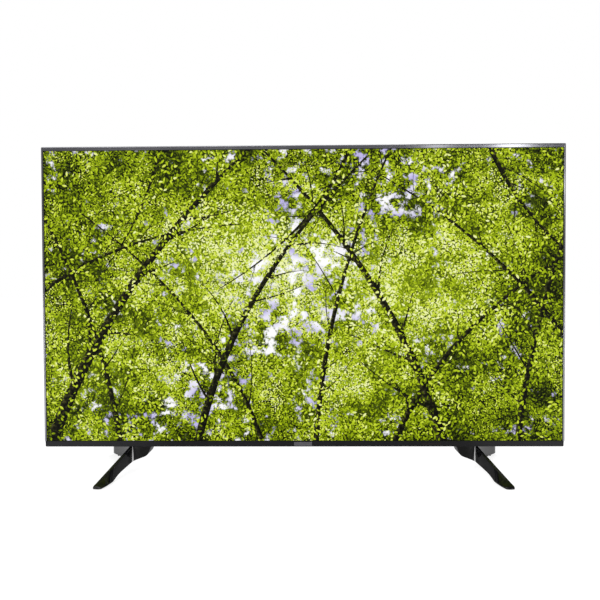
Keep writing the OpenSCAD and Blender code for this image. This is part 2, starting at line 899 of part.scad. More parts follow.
// Metal shell socket with an open mouth and a contact tongue
module shell_socket(up, size, tongue_t) {
    back_t = 2;
    tongue_in = 2;
    middle_y = board_back + size[1] / 2;
    side = size[0] / 2 - socket_shell;
    difference() {
        socket_block(up, size, 0);
        slab([bay_x - size[2] + back_t, bay_x + 1],
            [board_back + socket_shell, board_back + size[1] - socket_shell],
            [bay_z + up - side, bay_z + up + side]);
    }
    slab([bay_x - size[2] + back_t - eps, bay_x - tongue_in],
        [middle_y - tongue_t / 2, middle_y + tongue_t / 2],
        [bay_z + up - side + tongue_in, bay_z + up + side - tongue_in]);
}

module hdmi_sockets() {
    color("#b8babc")
        for (up = hdmi_up)
            shell_socket(up, hdmi_size, hdmi_tongue);
}

module usb_sockets() {
    color("#c4c6c8")
        for (up = usb_up)
            shell_socket(up, usb_size, usb_tongue);
}

module ethernet_socket() {
    mouth = [11.8, 8.4, 15];
    latch = [4, 3];
    low_y = board_back + 1.6;
    color("#2c2e30")
        difference() {
            socket_block(ethernet_up, ethernet_size, 0);
            slab([bay_x - mouth[2], bay_x + 1], [low_y, low_y + mouth[1]],
                [bay_z + ethernet_up - mouth[0] / 2, bay_z + ethernet_up + mouth[0] / 2]);
            slab([bay_x - mouth[2], bay_x + 1], [low_y + mouth[1] - eps, low_y + mouth[1] + latch[1]],
                [bay_z + ethernet_up - latch[0] / 2, bay_z + ethernet_up + latch[0] / 2]);
        }
}

module optical_socket() {
    mouth = 6.4;
    mouth_l = 9;
    middle_y = board_back + optical_size[1] / 2;
    color("#1c1c1e")
        difference() {
            socket_block(optical_up, optical_size, 0);
            slab([bay_x - mouth_l, bay_x + 1], [middle_y - mouth / 2, middle_y + mouth / 2],
                [bay_z + optical_up - mouth / 2, bay_z + optical_up + mouth / 2]);
        }
}

// Screw-on aerial socket: a body on the board, a collar in the wall and a bare barrel outside it
module aerial_socket() {
    core_r = 1.5;
    inner_x = bay_x - cover_wall - edge_room;
    outer_x = bay_x + aerial_collar_out;
    up = bay_z + aerial_up;
    color("#c9cbcd")
        difference() {
            union() {
                slab([inner_x - aerial_size[2], inner_x], [board_back, board_back + aerial_size[1]],
                    [up - aerial_size[0] / 2, up + aerial_size[0] / 2]);
                rod_x([inner_x - eps, outer_x], aerial_y, up, aerial_collar_r);
                rod_x([outer_x - eps, outer_x + aerial_l], aerial_y, up, aerial_r);
            }
            rod_x([outer_x, outer_x + aerial_l + 1], aerial_y, up, core_r);
        }
}

module headphone_socket() {
    bore_l = 12;
    color("#1c1c1e")
        difference() {
            socket_block(headphone_up, headphone_size, 0);
            rod_x([bay_x - bore_l, bay_x + 1], board_back + headphone_size[1] / 2,
                bay_z + headphone_up, headphone_r);
        }
}

// Power supply parts, measured from the board's outer lower corner
module power_transformer() {
    color("#c8a13a")
        union() {
            board_block(power_x[0], power_z[0], core_at, core);
            board_block(power_x[0], power_z[0], winding_at, winding);
        }
}

module power_capacitors() {
    can_x = power_x[0] + big_can_at[0];
    color("#2a3550")
        for (k = [0, 1])
            rod_x([can_x, can_x + big_can_l], board_back + big_can_r,
                power_z[0] + big_can_at[1] + k * big_can_pitch, big_can_r);
}

// Filter coils, heat sinks and cable plugs of the power supply
module power_board_parts() {
    color("#3a3c40") {
        for (at = filter_at)
            board_block(power_x[0], power_z[0], at, filter_coil);
        for (at = power_sink_at)
            board_block(power_x[0], power_z[0], at, power_sink);
        board_block(power_x[0], power_z[0], [lamp_plug_x - power_x[0] - plug_w / 2, plug_up],
            [plug_w, plug_h, plug_h]);
        board_block(power_x[0], power_z[0], [power_w - plug_in - plug_h, ribbon_z - power_z[0]],
            [plug_h, plug_h, ribbon_w]);
    }
}

// Two-pin mains inlet on the left-hand wall: a recess with round ends and its two pins
module mains_inlet() {
    recess_l = 14;
    recess_r = 4.6;
    pin_l = 10;
    middle = [board_back + mains_size[1] / 2, bay_z + mains_up];
    color("#161618")
        mirror([1, 0, 0])
            union() {
                difference() {
                    socket_block(mains_up, mains_size, 0);
                    for (s = [-1, 1])
                        rod_x([bay_x - recess_l, bay_x + 1], middle[0],
                            middle[1] + s * mains_pin_pitch / 2, recess_r);
                    slab([bay_x - recess_l, bay_x + 1], [middle[0] - recess_r, middle[0] + recess_r],
                        [middle[1] - mains_pin_pitch / 2, middle[1] + mains_pin_pitch / 2]);
                }
                for (s = [-1, 1])
                    rod_x([bay_x - recess_l - 1, bay_x - recess_l + pin_l], middle[0],
                        middle[1] + s * mains_pin_pitch / 2, mains_pin_r);
            }
}

// Glass drivers: boards behind the tray's lower flange, flexes round the frame, ribbons to the driver board
flex_t = 0.3;
flex_xs = [75, 225, 375, 525];
flex_w = 40;
flex_low = 1.6;
edge_board_h = 9;
edge_board_t = 1;
edge_board_gap = 8;
module edge_boards() {
    color("#1f6b33")
        for (s = [-1, 1])
            translate([s * (edge_board_gap + edge_board_l / 2), 0, 0])
                slab([-edge_board_l / 2, edge_board_l / 2], [rim_y, rim_y + edge_board_t],
                    [tray_z[0], tray_z[0] + edge_board_h]);
}

module glass_flexes() {
    front = ledge_y - flex_t;
    back = rim_y + edge_board_t;
    low = frame_z[0] - flex_low;
    up = tray_z[0] + edge_board_h / 2;
    color("#a8742c")
        for (s = [-1, 1], x = flex_xs)
            translate([s * x, 0, 0])
                bar_x([-flex_w / 2, flex_w / 2])
                    polygon([[front, glass_z[0]], [front, low], [back + flex_t, low], [back + flex_t, up],
                        [back, up], [back, low + flex_t], [ledge_y, low + flex_t], [ledge_y, glass_z[0]]]);
}

module panel_ribbons() {
    xs = [-35, 35];
    half = 9;
    low = cover_floor + 2.5;
    back = driver_y;
    front = rim_y + edge_board_t;
    up = tray_z[0] + edge_board_h / 2;
    top = driver_z[0] + standoff_in;
    color("#e4e4e0")
        for (x = xs)
            translate([x, 0, 0])
                bar_x([-half, half])
                    polygon([[back - ribbon_t, top], [back - ribbon_t, low + ribbon_t],
                        [front + ribbon_t, low + ribbon_t], [front + ribbon_t, up], [front, up],
                        [front, low], [back, low], [back, top]]);
}

module wireless_module() {
    x = [-60, -20];
    z = [140, 158];
    t = 4;
    color("#9aa0a6")
        slab(x, [tray_y, tray_y + t], z);
}

// Speakers: a closed box with its driver looking down through the cover's grille
module at_speaker(s) {
    translate([s * speaker_x, 0, 0])
        children();
}

module speaker_box(s) {
    outer = foot_screw_x - bracket_w / 2 - speaker_room;
    x = s > 0 ? [outer - speaker_w, outer] : [-outer, speaker_w - outer];
    mouth_r = rim_in + speaker_rest;
    color("#1e1e20")
        difference() {
            slab(x, speaker_y, speaker_z);
            slab([x[0] + speaker_wall, x[1] - speaker_wall],
                [speaker_y[0] + speaker_wall, speaker_y[1] - speaker_wall],
                [speaker_z[0] + speaker_wall, speaker_z[1] - speaker_wall]);
            rod_z(s * speaker_x, driver_axis_y, [speaker_z[0] - 1, speaker_z[0] + speaker_wall + 1],
                mouth_r);
        }
}

// Basket, magnet and pole in one turned section: radius, then height above the flange
module speaker_driver() {
    flange_t = 1.5;
    basket_in = 2.6;
    magnet_r = 9.5;
    magnet_z = [11, 18];
    throat_r = 8.3;
    pole_r = 3.5;
    pole_z = 9;
    slot_r = 4.6;
    slot_z = 15;
    color("#6a6c70")
        translate([0, driver_axis_y, speaker_z[0] + speaker_wall])
            rotate_extrude()
                polygon([[rim_in, 0], [rim_out, 0], [rim_out, flange_t], [rim_in + flange_t, flange_t],
                    [magnet_r, magnet_z[0]], [magnet_r, magnet_z[1]], [0, magnet_z[1]], [0, pole_z],
                    [pole_r, pole_z], [pole_r, slot_z], [slot_r, slot_z], [slot_r, magnet_z[0]],
                    [throat_r, magnet_z[0]], [rim_in, basket_in]]);
}

// Cone, dust cap and voice coil, which move together
module speaker_cone() {
    edge_z = [0.2, 0.9];
    fold_r = cone_r - 1.5;
    fold_z = [0.6, 1.3];
    throat_z = [5.2, 6.2];
    cap_z = [4.6, 5.4, 6];
    coil_r = [3.75, 4.25];
    coil_z = 11.5;
    color("#3c3c40")
        translate([0, driver_axis_y, speaker_z[0] + speaker_wall])
            rotate_extrude()
                polygon([[cone_r, edge_z[0]], [fold_r, fold_z[0]], [coil_r[1], throat_z[0]],
                    [0, cap_z[0]], [0, cap_z[1]], [coil_r[0], cap_z[2]], [coil_r[0], coil_z],
                    [coil_r[1], coil_z], [coil_r[1], throat_z[1]], [fold_r, fold_z[1]],
                    [cone_r, edge_z[1]]]);
}

module left_speaker_box() speaker_box(-1);

module right_speaker_box() speaker_box(1);

module left_speaker_driver() at_speaker(-1) speaker_driver();

module right_speaker_driver() at_speaker(1) speaker_driver();

module left_speaker_cone() at_speaker(-1) speaker_cone();

module right_speaker_cone() at_speaker(1) speaker_cone();

module speaker_leads() {
    color("#18181a") {
        tube(left_route, lead_r);
        tube(right_route, lead_r);
    }
}

module lamp_lead() {
    color("#b03028")
        tube(lamp_route, lead_r);
}

// Flat cable from the power board down to the tray, across it and up to the main board
module board_harness() {
    left = power_x[1] - plug_in;
    right = main_x[0] + plug_in;
    clear = 5;
    drop = [power_x[1] + clear, main_x[0] - clear];
    low = tray_y + fit_gap;
    high = board_back + 1;
    color("#d8d8d4")
        translate([0, 0, ribbon_z])
            linear_extrude(ribbon_w)
                polygon([[left, high], [drop[0], high], [drop[0], low], [drop[1], low], [drop[1], high],
                    [right, high], [right, high + ribbon_t], [drop[1] - ribbon_t, high + ribbon_t],
                    [drop[1] - ribbon_t, low + ribbon_t], [drop[0] + ribbon_t, low + ribbon_t],
                    [drop[0] + ribbon_t, high + ribbon_t], [left, high + ribbon_t]]);
}

// Power key, held in a slot of the cover's underside, and the switch board over it
module key_board() {
    plunger_r = 1.6;
    body = 6;
    color("#1f6b33")
        union() {
            slab([-key_board_w / 2, key_board_w / 2], [key_y - key_board_d / 2, key_y + key_board_d / 2],
                [switch_z + switch_h, switch_z + switch_h + board_t]);
            slab([-body / 2, body / 2], [key_y - body / 2, key_y + body / 2],
                [switch_z + 1, switch_z + switch_h + eps]);
            rod_z(0, key_y, [switch_z, switch_z + 2], plunger_r);
        }
}

module power_key() {
    half_key = [key_w / 2, key_d / 2];
    color("#1a1a1c")
        union() {
            slab([-half_key[0], half_key[0]], [key_y - half_key[1], key_y + half_key[1]],
                [cover_z[0] - key_out, key_top]);
            slab([-half_key[0] - key_flange, half_key[0] + key_flange],
                [key_y - half_key[1] - key_flange, key_y + half_key[1] + key_flange],
                [cover_floor, key_top]);
        }
}

// Rear cover: slim tapered back, deep housing below, a socket bay cut into each end of the housing
module cover_form(inset, top_inset) {
    x = cover_x - inset;
    z = [cover_z[0] + inset, cover_z[1] - inset];
    slim = edge_taper;
    rise = rim_y + rim_depth;
    lean = house_taper;
    house_x = house_w / 2 - inset;
    slab([-x, x], [rim_y - top_inset, rise], z);
    taper([[-x, x], z], [[-x + slim, x - slim], [z[0], z[1] - slim]], [rise, slim_y - inset]);
    taper([[-house_x, house_x], [z[0], house_h - inset]],
        [[-house_x + lean, house_x - lean], [z[0], house_h - inset - lean]],
        [slim_y - inset - eps, house_y - inset]);
}

// Space of the socket bays, grown by a wall
module bays(wall) {
    far = house_w / 2 + 1;
    slab([bay_x - wall, far], [slim_y - wall, house_y + 1], [bay_z - wall, bay_z + bay_h + wall]);
    slab([-far, -bay_x + wall], [slim_y - wall, house_y + 1], [bay_z - wall, bay_z + mains_h + wall]);
}

module cover_shell() {
    difference() {
        cover_form(0, 0);
        difference() {
            cover_form(cover_wall, 1);
            bays(cover_wall);
        }
        bays(0);
    }
}

module cover_wells() {
    for (p = slim_screws)
        rod_y(p[0], [tray_y, slim_y - eps], p[1], well_r + well_wall);
    for (p = deep_screws)
        rod_y(p[0], [tray_y, house_y - eps], p[1], well_r + well_wall);
    for (s = [-1, 1])
        rod_z(s * (key_board_w / 2 - key_post_r), key_y, [cover_floor - eps, switch_z + switch_h],
            key_post_r);
}

module cover_vents() {
    first = mount_pitch / 2 + 2 * mount_post_r + vent_pitch;
    top_vent_z = house_h - house_taper - vent_pitch - vent_l;
    low_vent_z = bay_z + bay_h + vent_pitch;
    for (s = [-1, 1], k = [0:vent_count - 1])
        for (z = [low_vent_z, top_vent_z])
            translate([s * (first + k * vent_pitch), 0, 0])
                slab([-vent_w / 2, vent_w / 2], [house_floor_y - 1, house_y + 1], [z, z + vent_l]);
}

module cover_grilles() {
    for (s = [-1, 1], k = [0:grille_count - 1])
        translate([s * speaker_x + (k - (grille_count - 1) / 2) * grille_pitch, driver_axis_y, 0])
            slab([-grille_w / 2, grille_w / 2], [-grille_l / 2, grille_l / 2], [0, cover_floor + 1]);
}

module socket_holes() {
    for (up = hdmi_up)
        socket_block(up, hdmi_size, fit_gap);
    for (up = usb_up)
        socket_block(up, usb_size, fit_gap);
    socket_block(ethernet_up, ethernet_size, fit_gap);
    socket_block(optical_up, optical_size, fit_gap);
    socket_block(headphone_up, headphone_size, fit_gap);
    rod_x([bay_x - cover_wall - 1, bay_x + 1], aerial_y, bay_z + aerial_up, aerial_collar_r + fit_gap);
    mirror([1, 0, 0])
        socket_block(mains_up, mains_size, fit_gap);
}

module rear_cover() {
    key_half = [key_w / 2 + fit_gap, key_d / 2 + fit_gap];
    color("#26272a")
        difference() {
            union() {
                cover_shell();
                cover_wells();
            }
            for (p = slim_screws)
                rod_y(p[0], [seat_y, slim_y + 1], p[1], well_r);
            for (p = deep_screws)
                rod_y(p[0], [seat_y, house_y + 1], p[1], well_r);
            for (p = concat(slim_screws, deep_screws))
                rod_y(p[0], [tray_y - 1, seat_y + 1], p[1], cover_screw_r + screw_gap);
            at_mounts()
                rod_y(0, [house_floor_y - 1, house_y + 1], 0, mount_post_r + fit_gap);
            cover_vents();
            cover_grilles();
            socket_holes();
            slab([-key_half[0], key_half[0]], [key_y - key_half[1], key_y + key_half[1]],
                [0, cover_floor + eps]);
            for (s = [-1, 1], y = foot_screw_y)
                rod_z(s * foot_screw_x, y - front_y, [0, cover_floor + 1], foot_screw_r + screw_gap);
        }
}

module cover_screws() {
    color("#3a3a3c")
        for (p = concat(slim_screws, deep_screws))
            screw_from_behind(p[0], seat_y, p[1], cover_screw_r, seat_y - floor_y,
                cover_head_r, cover_head_h);
}

// Steel brackets that tie the feet to the tray
module foot_bracket(s) {
    x = [s * foot_screw_x - bracket_w / 2, s * foot_screw_x + bracket_w / 2];
    color("#9ea2a6")
        difference() {
            union() {
                slab(x, [tray_y, tray_y + bracket_d], [cover_floor, cover_floor + bracket_t]);
                slab(x, [tray_y, tray_y + bracket_t], [cover_floor, cover_floor + bracket_h]);
            }
            for (y = foot_screw_y)
                rod_z(s * foot_screw_x, y - front_y, [cover_floor - 1, cover_floor + bracket_t + 1],
                    foot_screw_r + screw_gap);
            for (z = bracket_screws_z)
                rod_y(s * foot_screw_x, [tray_y - 1, tray_y + bracket_t + 1], z, board_screw_r + screw_gap);
        }
}

module left_foot_bracket() foot_bracket(-1);

module right_foot_bracket() foot_bracket(1);

module bracket_screws() {
    color("#d0d2d4")
        for (s = [-1, 1], z = bracket_screws_z)
            screw_from_behind(s * foot_screw_x, tray_y + bracket_t, z, board_screw_r,
                bracket_t + sheet_t, board_head_r, board_head_h);
}

// Feet, in the floor's frame.
// A leg's path runs from the front tip, u = -1, past the knee to the rear tip, u = 1.
function leg_reach(u) = u < 0 ? foot_depth / 2 - toe_over + apex_y : foot_depth / 2 - apex_y;

function leg_splay(u) = u < 0 ? front_splay : rear_splay;

function leg_point(u) = [foot_x + leg_splay(u) * pow(abs(u), leg_bow), apex_y + u * leg_reach(u)];

function leg_top(u) =
    let (tip = u < 0 ? front_tip_h : rear_tip_h)
    seat_z - (seat_z - tip) * pow(abs(u), top_power);

function leg_sole(u) = pad_t + (knee_h - pad_t) * (1 - pow(min(1, abs(u) / sole_start), arch_power));

// The legs narrow to a round nose over the last stretch before the tip
function leg_nose(u) =
    let (start = nose_start[u < 0 ? 0 : 1], n = max(0, (abs(u) - start) / (1 - start)))
    max(0.3, sqrt(1 - n * n));

// The front leg's sole widens inwards on its way to the toe
function leg_toe(u) =
    let (t = max(0, min(1, (-u - toe_start) / (nose_start[0] - toe_start))))
    toe_w * t * t * (3 - 2 * t) * leg_nose(u);

// Section across a leg, square to the path: rounded, upright, with an inner face that slants out to the toe
function leg_section(u) =
    let (step = 0.01, a = leg_point(max(-1, u - step)), b = leg_point(min(1, u + step)),
        along = (b - a) / norm(b - a), out = [along[1], -along[0]], p = leg_point(u),
        half = leg_t / 2 * leg_nose(u), toe = leg_toe(u), low = leg_sole(u), high = leg_top(u),
        r = min(leg_round, half * 0.8, (high - low) / 3),
        slant = 180 - atan2(toe, high - low - 2 * r))
    [for (corner = [[half - r, high - r, 0, 90], [r - half, high - r, 90, slant],
            [r - half - toe, low + r, slant, 270], [half - r, low + r, 270, 360]], k = [0:round_steps])
        let (angle = corner[2] + (corner[3] - corner[2]) * k / round_steps,
            side = corner[0] + r * cos(angle), up = corner[1] + r * sin(angle))
        [p[0] + side * out[0], p[1] + side * out[1], up]];

module leg_pair() {
    stops = [for (k = [-leg_steps:leg_steps]) sin(90 * k / leg_steps)];
    swept([for (u = stops) leg_section(u)], 4 * (round_steps + 1));
}

// Points of a bend from start to end that leaves both along their lines to the corner
function bend_points(start, corner, end) = [for (k = [0:bend_steps])
    let (t = k / bend_steps)
    (1 - t) * (1 - t) * start + 2 * t * (1 - t) * corner + t * t * end];

// Outline of the foot's head, seen from the front and carried from y[0] back to y[1]
module head_block(y) {
    corner = [head_in + head_lean, head_z];
    start = corner + head_round * [-head_lean, seat_z - head_z] / norm([head_lean, seat_z - head_z]);
    slope = [foot_x - corner[0], knee_h - head_z];
    end = corner + head_round * slope / norm(slope);
    sheet_y(y)
        polygon(concat([[head_in, seat_z]], bend_points(start, corner, end),
            [[foot_x, knee_h], [foot_x + head_over, knee_h], [foot_x + head_over, seat_z]]));
}

// The point of the legs' path that lies at a distance y from the front
function leg_at(y) = leg_point((y - apex_y) / leg_reach(y - apex_y));

// Head of the foot, which takes the television's weight: it ends along the middle of the legs
module foot_head() {
    y = [head_front, head_front + head_d];
    intersection() {
        head_block(y);
        linear_extrude(seat_z)
            polygon(concat([[head_in, y[0]]],
                [for (k = [0:bend_steps]) leg_at(y[0] + head_d * k / bend_steps)],
                [[head_in, y[1]]]));
    }
}

// Hollow bend that leads the head's front round into the front leg, level with the leg's top
module knee() {
    y = [head_front - knee_bend, head_front];
    back = y[1] + 1;
    inner = leg_at(y[1]) - [leg_t / 2, 0];
    start = inner - [knee_bend, 0];
    end = leg_at(y[0]) - [leg_t / 2, 0];
    tops = [for (d = [y[0], back]) leg_top((d - apex_y) / leg_reach(-1))];
    intersection() {
        linear_extrude(seat_z)
            polygon(concat(bend_points(start, inner, end), [leg_at(y[0]), leg_at(back), [start[0], back]]));
        head_block([y[0] - 1, back]);
        bar_x([start[0] - 1, foot_x + knee_bend])
            polygon([[y[0], 0], [back, 0], [back, tops[1]], [y[0], tops[0]]]);
    }
}

module foot(s) {
    color("#17181b")
        mirror([s < 0 ? 1 : 0, 0, 0])
            difference() {
                union() {
                    leg_pair();
                    foot_head();
                    knee();
                }
                for (y = foot_screw_y) {
                    rod_z(foot_screw_x, y, [0, seat_z - foot_flange], foot_head_r + 2 * fit_gap);
                    rod_z(foot_screw_x, y, [0, seat_z + 1], foot_screw_r + screw_gap);
                }
            }
}

module left_foot() foot(-1);

module right_foot() foot(1);

// Rubber pads under the flat soles at the leg tips
function pad_point(u) = leg_point(u * (sole_start + 1) / 2);

module foot_pads(s) {
    color("#101010")
        for (u = [-1, 1])
            rod_z(s * pad_point(u)[0], pad_point(u)[1], [0, pad_t], pad_r);
}

module left_foot_pads() foot_pads(-1);

module right_foot_pads() foot_pads(1);

module foot_screws() {
    color("#3a3a3c")
        for (s = [-1, 1], y = foot_screw_y)
            translate([s * foot_screw_x, y, seat_z - foot_flange])
                screw(foot_screw_r, foot_flange + cover_wall + bracket_t, foot_head_r, foot_head_h);
}

in_body() lcd_glass();
in_body() glass_gasket();
in_body() top_bezel();
in_body() left_bezel();
in_body() right_bezel();
in_body() bottom_bezel();
in_body() badge_plate();
in_body() receiver_window();
in_body() receiver_board();
in_body() middle_frame();
in_body() prism_sheet();
in_body() diffuser_sheet();
in_body() diffuser_plate();
in_body() reflector_sheet();
in_body() led_bars();
in_body() led_lenses();
in_body() backlight_tray();
in_body() wall_mount_posts();
in_body() board_standoffs();
in_body() main_board();
in_body() main_board_parts();
in_body() processor_heatsink();
in_body() hdmi_sockets();
in_body() usb_sockets();
in_body() ethernet_socket();
in_body() optical_socket();
in_body() aerial_socket();
in_body() headphone_socket();
in_body() power_board();
in_body() power_transformer();
in_body() power_capacitors();
in_body() power_board_parts();
in_body() mains_inlet();
in_body() driver_board();
in_body() edge_boards();
in_body() glass_flexes();
in_body() panel_ribbons();
in_body() wireless_module();
in_body() left_speaker_box();
in_body() right_speaker_box();
in_body() left_speaker_driver();
in_body() right_speaker_driver();
in_body() left_speaker_cone();
in_body() right_speaker_cone();
in_body() speaker_leads();
in_body() lamp_lead();
in_body() board_harness();
in_body() key_board();
in_body() power_key();
in_body() rear_cover();
in_body() cover_screws();
in_body() board_screws();
in_body() left_foot_bracket();
in_body() right_foot_bracket();
in_body() bracket_screws();
left_foot();
right_foot();
left_foot_pads();
right_foot_pads();
foot_screws();
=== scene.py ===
"""Flat screen television on two splayed feet: its finishes, its lit picture, the studio and the camera.

X runs along the screen to the viewer's right, Y runs back from the viewer, Z is up, and the floor is at zero.
Sizes are in millimetres, as on the drawing of the set, and become metres where points go into a mesh.
"""

import json
import math

import bmesh
import bpy
import numpy as np
from mathutils import Matrix


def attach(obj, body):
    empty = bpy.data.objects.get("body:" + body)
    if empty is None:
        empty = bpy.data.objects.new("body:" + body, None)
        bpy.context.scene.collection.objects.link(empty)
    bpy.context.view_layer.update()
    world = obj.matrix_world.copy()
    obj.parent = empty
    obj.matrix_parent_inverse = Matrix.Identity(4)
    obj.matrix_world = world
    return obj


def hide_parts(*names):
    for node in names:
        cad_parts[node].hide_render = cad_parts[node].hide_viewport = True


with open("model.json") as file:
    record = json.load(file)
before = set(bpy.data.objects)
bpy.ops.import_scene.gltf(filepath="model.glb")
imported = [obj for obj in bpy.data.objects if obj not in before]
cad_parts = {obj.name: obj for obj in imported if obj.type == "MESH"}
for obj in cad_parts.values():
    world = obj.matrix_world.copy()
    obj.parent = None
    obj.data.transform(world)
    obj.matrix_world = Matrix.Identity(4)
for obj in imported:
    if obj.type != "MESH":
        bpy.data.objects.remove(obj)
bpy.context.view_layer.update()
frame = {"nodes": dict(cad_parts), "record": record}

MM = 0.001

# Picture and glass
PICTURE_X = 604.8
PICTURE_Z = (79.0, 759.4)
GLASS_X = 608.6
GLASS_Z = (75.0, 767.2)
GLASS_Y = (-28.4, -27.0)
PICTURE_CELLS = (320, 180)
EDGE_STEP = 0.05

# Feet: the path of the legs, their heights and the head under the cover
FOOT_X = 408.0
APEX_Y = 18.0
LEG_REACH = (150.8, 117.0)
SPLAY = (48.0, 96.0)
LEG_BOW = 1.35
LEG_T = 8.0
LEG_ROUND = 3.0
SEAT_Z = 67.2
TIP_H = (5.0, 22.0)
KNEE_H = 24.0
PAD_T = 1.5
TOP_POWER = 1.28
SOLE_START = 0.68
ARCH_POWER = 1.6
TOE_W = 14.0
TOE_START = 0.45
NOSE_START = (0.95, 0.92)
HEAD_IN = 362.0
HEAD_LEAN = 11.0
HEAD_Z = 37.0
HEAD_ROUND = 9.0
HEAD_Y = (-8.1, 37.9)
HEAD_EDGE = 2.0
KNEE_BEND = (26.0, 5.0)
FOOT_SCREW_X = 385.0
FOOT_SCREW_Y = (4.9, 24.9)
COUNTERBORE = (4.2, 59.2)
SCREW_HOLE_R = 2.1
# Rings along the legs; points at a corner of a ring, along a bend and round the head's ends; sides of a rod
LEG_STEPS = 161
CORNER_STEPS = 7
BEND_STEPS = 13
END_STEPS = 6
ROD_SIDES = 40
# How far joined pieces reach into each other, and how far the bend at the knee stays under the leg's top
OVERLAP = 1.0
KNEE_DROP = 0.3


# Materials

def linear(colour):
    """sRGB hex to linear RGBA."""
    channels = np.array([int(colour[i:i + 2], 16) for i in (1, 3, 5)]) / 255
    low = channels / 12.92
    high = ((channels + 0.055) / 1.055) ** 2.4
    return (*np.where(channels <= 0.04045, low, high).tolist(), 1.0)


def put(tree, kind, inputs=None, stops=None, **settings):
    """Adds a node: settings are properties, inputs links or constants, stops a ramp's places and colours."""
    node = tree.nodes.new("ShaderNode" + kind)
    for name, value in settings.items():
        setattr(node, name, value)
    for name, value in (inputs or {}).items():
        if isinstance(value, bpy.types.NodeSocket):
            tree.links.new(value, node.inputs[name])
        else:
            node.inputs[name].default_value = value
    if stops:
        marks = node.color_ramp.elements
        while len(marks) < len(stops):
            marks.new(1.0)
        for mark, (place, colour) in zip(marks, stops):
            mark.position = place
            mark.color = linear(colour)
    return node


def start_finish(name, **constants):
    """A new material, its node tree, its shader with constants on its sockets, and the object coordinates."""
    material = bpy.data.materials.new(name)
    material.use_nodes = True
    tree = material.node_tree
    shader = tree.nodes["Principled BSDF"]
    for socket, value in constants.items():
        shader.inputs[socket.replace("_", " ").title().replace("Ior", "IOR")].default_value = value
    coords = put(tree, "TexCoord").outputs["Object"]
    return material, tree, shader, coords


def per_mm(size):
    """Texture scale, per metre, of a pattern whose features are this many millimetres across."""
    return 1 / (size * MM)


# Sizes of the slow patterns in the finishes, in millimetres: colour drift of mouldings, clouds in brushed
# metal, soil on plated steel and wear on banded pieces
DRIFT, CLOUD, SOIL, WEAR = 70.0, 120.0, 45.0, 8.0


def coat(tree, shader, colour, gloss, relief=None):
    """Links the outputs for colour, roughness and relief to the shader."""
    for socket, output in (("Base Color", colour), ("Roughness", gloss), ("Normal", relief)):
        if output is not None:
            tree.links.new(output, shader.inputs[socket])


def moulded(name, dark, light, grain, rough, relief, **constants):
    """Injection-moulded plastic: a spark-eroded grain breaks up the gloss, and the colour drifts faintly.

    Grain and relief are in millimetres, and rough is the lowest and the highest roughness.
    """
    material, tree, shader, coords = start_finish(name, **constants)
    drift = put(tree, "TexNoise", {"Vector": coords, "Scale": per_mm(DRIFT), "Detail": 3.0}).outputs["Fac"]
    fine = put(tree, "TexNoise", {"Vector": coords, "Scale": per_mm(grain), "Detail": 4.0}).outputs["Fac"]
    tint = put(tree, "Math", {0: drift, 1: fine}, operation="MULTIPLY").outputs[0]
    colour = put(tree, "ValToRGB", {"Fac": tint}, stops=[(0.12, dark), (0.42, light)]).outputs["Color"]
    gloss = put(tree, "MapRange", {"Value": fine, "From Min": 0.3, "From Max": 0.7,
                                   "To Min": rough[0], "To Max": rough[1]}).outputs[0]
    bump = put(tree, "Bump", {"Height": fine, "Strength": 0.5, "Distance": relief * MM}).outputs[0]
    coat(tree, shader, colour, gloss, bump)
    return material


def brushed(name, dark, light, lines, rough, relief):
    """Brushed metal: long fine scratches, lines = their length along each axis in millimetres."""
    material, tree, shader, coords = start_finish(name, metallic=1.0)
    run = put(tree, "Mapping", {"Vector": coords, "Scale": [per_mm(size) for size in lines]}).outputs[0]
    scratch = put(tree, "TexNoise", {"Vector": run, "Scale": 1.0, "Detail": 5.0,
                                     "Roughness": 0.65}).outputs["Fac"]
    cloud = put(tree, "TexNoise", {"Vector": coords, "Scale": per_mm(CLOUD), "Detail": 2.0}).outputs["Fac"]
    drift = put(tree, "Math", {0: cloud, 1: 0.3}, operation="MULTIPLY").outputs[0]
    tone = put(tree, "Math", {0: scratch, 1: 0.7, 2: drift}, operation="MULTIPLY_ADD").outputs[0]
    colour = put(tree, "ValToRGB", {"Fac": tone}, stops=[(0.35, dark), (0.65, light)]).outputs["Color"]
    gloss = put(tree, "MapRange", {"Value": scratch, "From Min": 0.3, "From Max": 0.7,
                                   "To Min": rough[0], "To Max": rough[1]}).outputs[0]
    bump = put(tree, "Bump", {"Height": scratch, "Strength": 0.6, "Distance": relief * MM}).outputs[0]
    coat(tree, shader, colour, gloss, bump)
    return material


def plated(name, dark, light, spangle, rough):
    """Zinc-coated or nickel-plated steel: a patchwork of crystals, each with its own tone and sheen."""
    material, tree, shader, coords = start_finish(name, metallic=1.0)
    crystal = put(tree, "TexVoronoi", {"Vector": coords, "Scale": per_mm(spangle)}).outputs["Color"]
    soil = put(tree, "TexNoise", {"Vector": coords, "Scale": per_mm(SOIL), "Detail": 4.0}).outputs["Fac"]
    level = put(tree, "SeparateColor", {"Color": crystal}).outputs
    tone = put(tree, "Math", {0: level["Red"], 1: soil}, operation="MULTIPLY").outputs[0]
    colour = put(tree, "ValToRGB", {"Fac": tone}, stops=[(0.0, dark), (0.6, light)]).outputs["Color"]
    gloss = put(tree, "MapRange", {"Value": level["Green"],
                                   "To Min": rough[0], "To Max": rough[1]}).outputs[0]
    coat(tree, shader, colour, gloss)
    return material


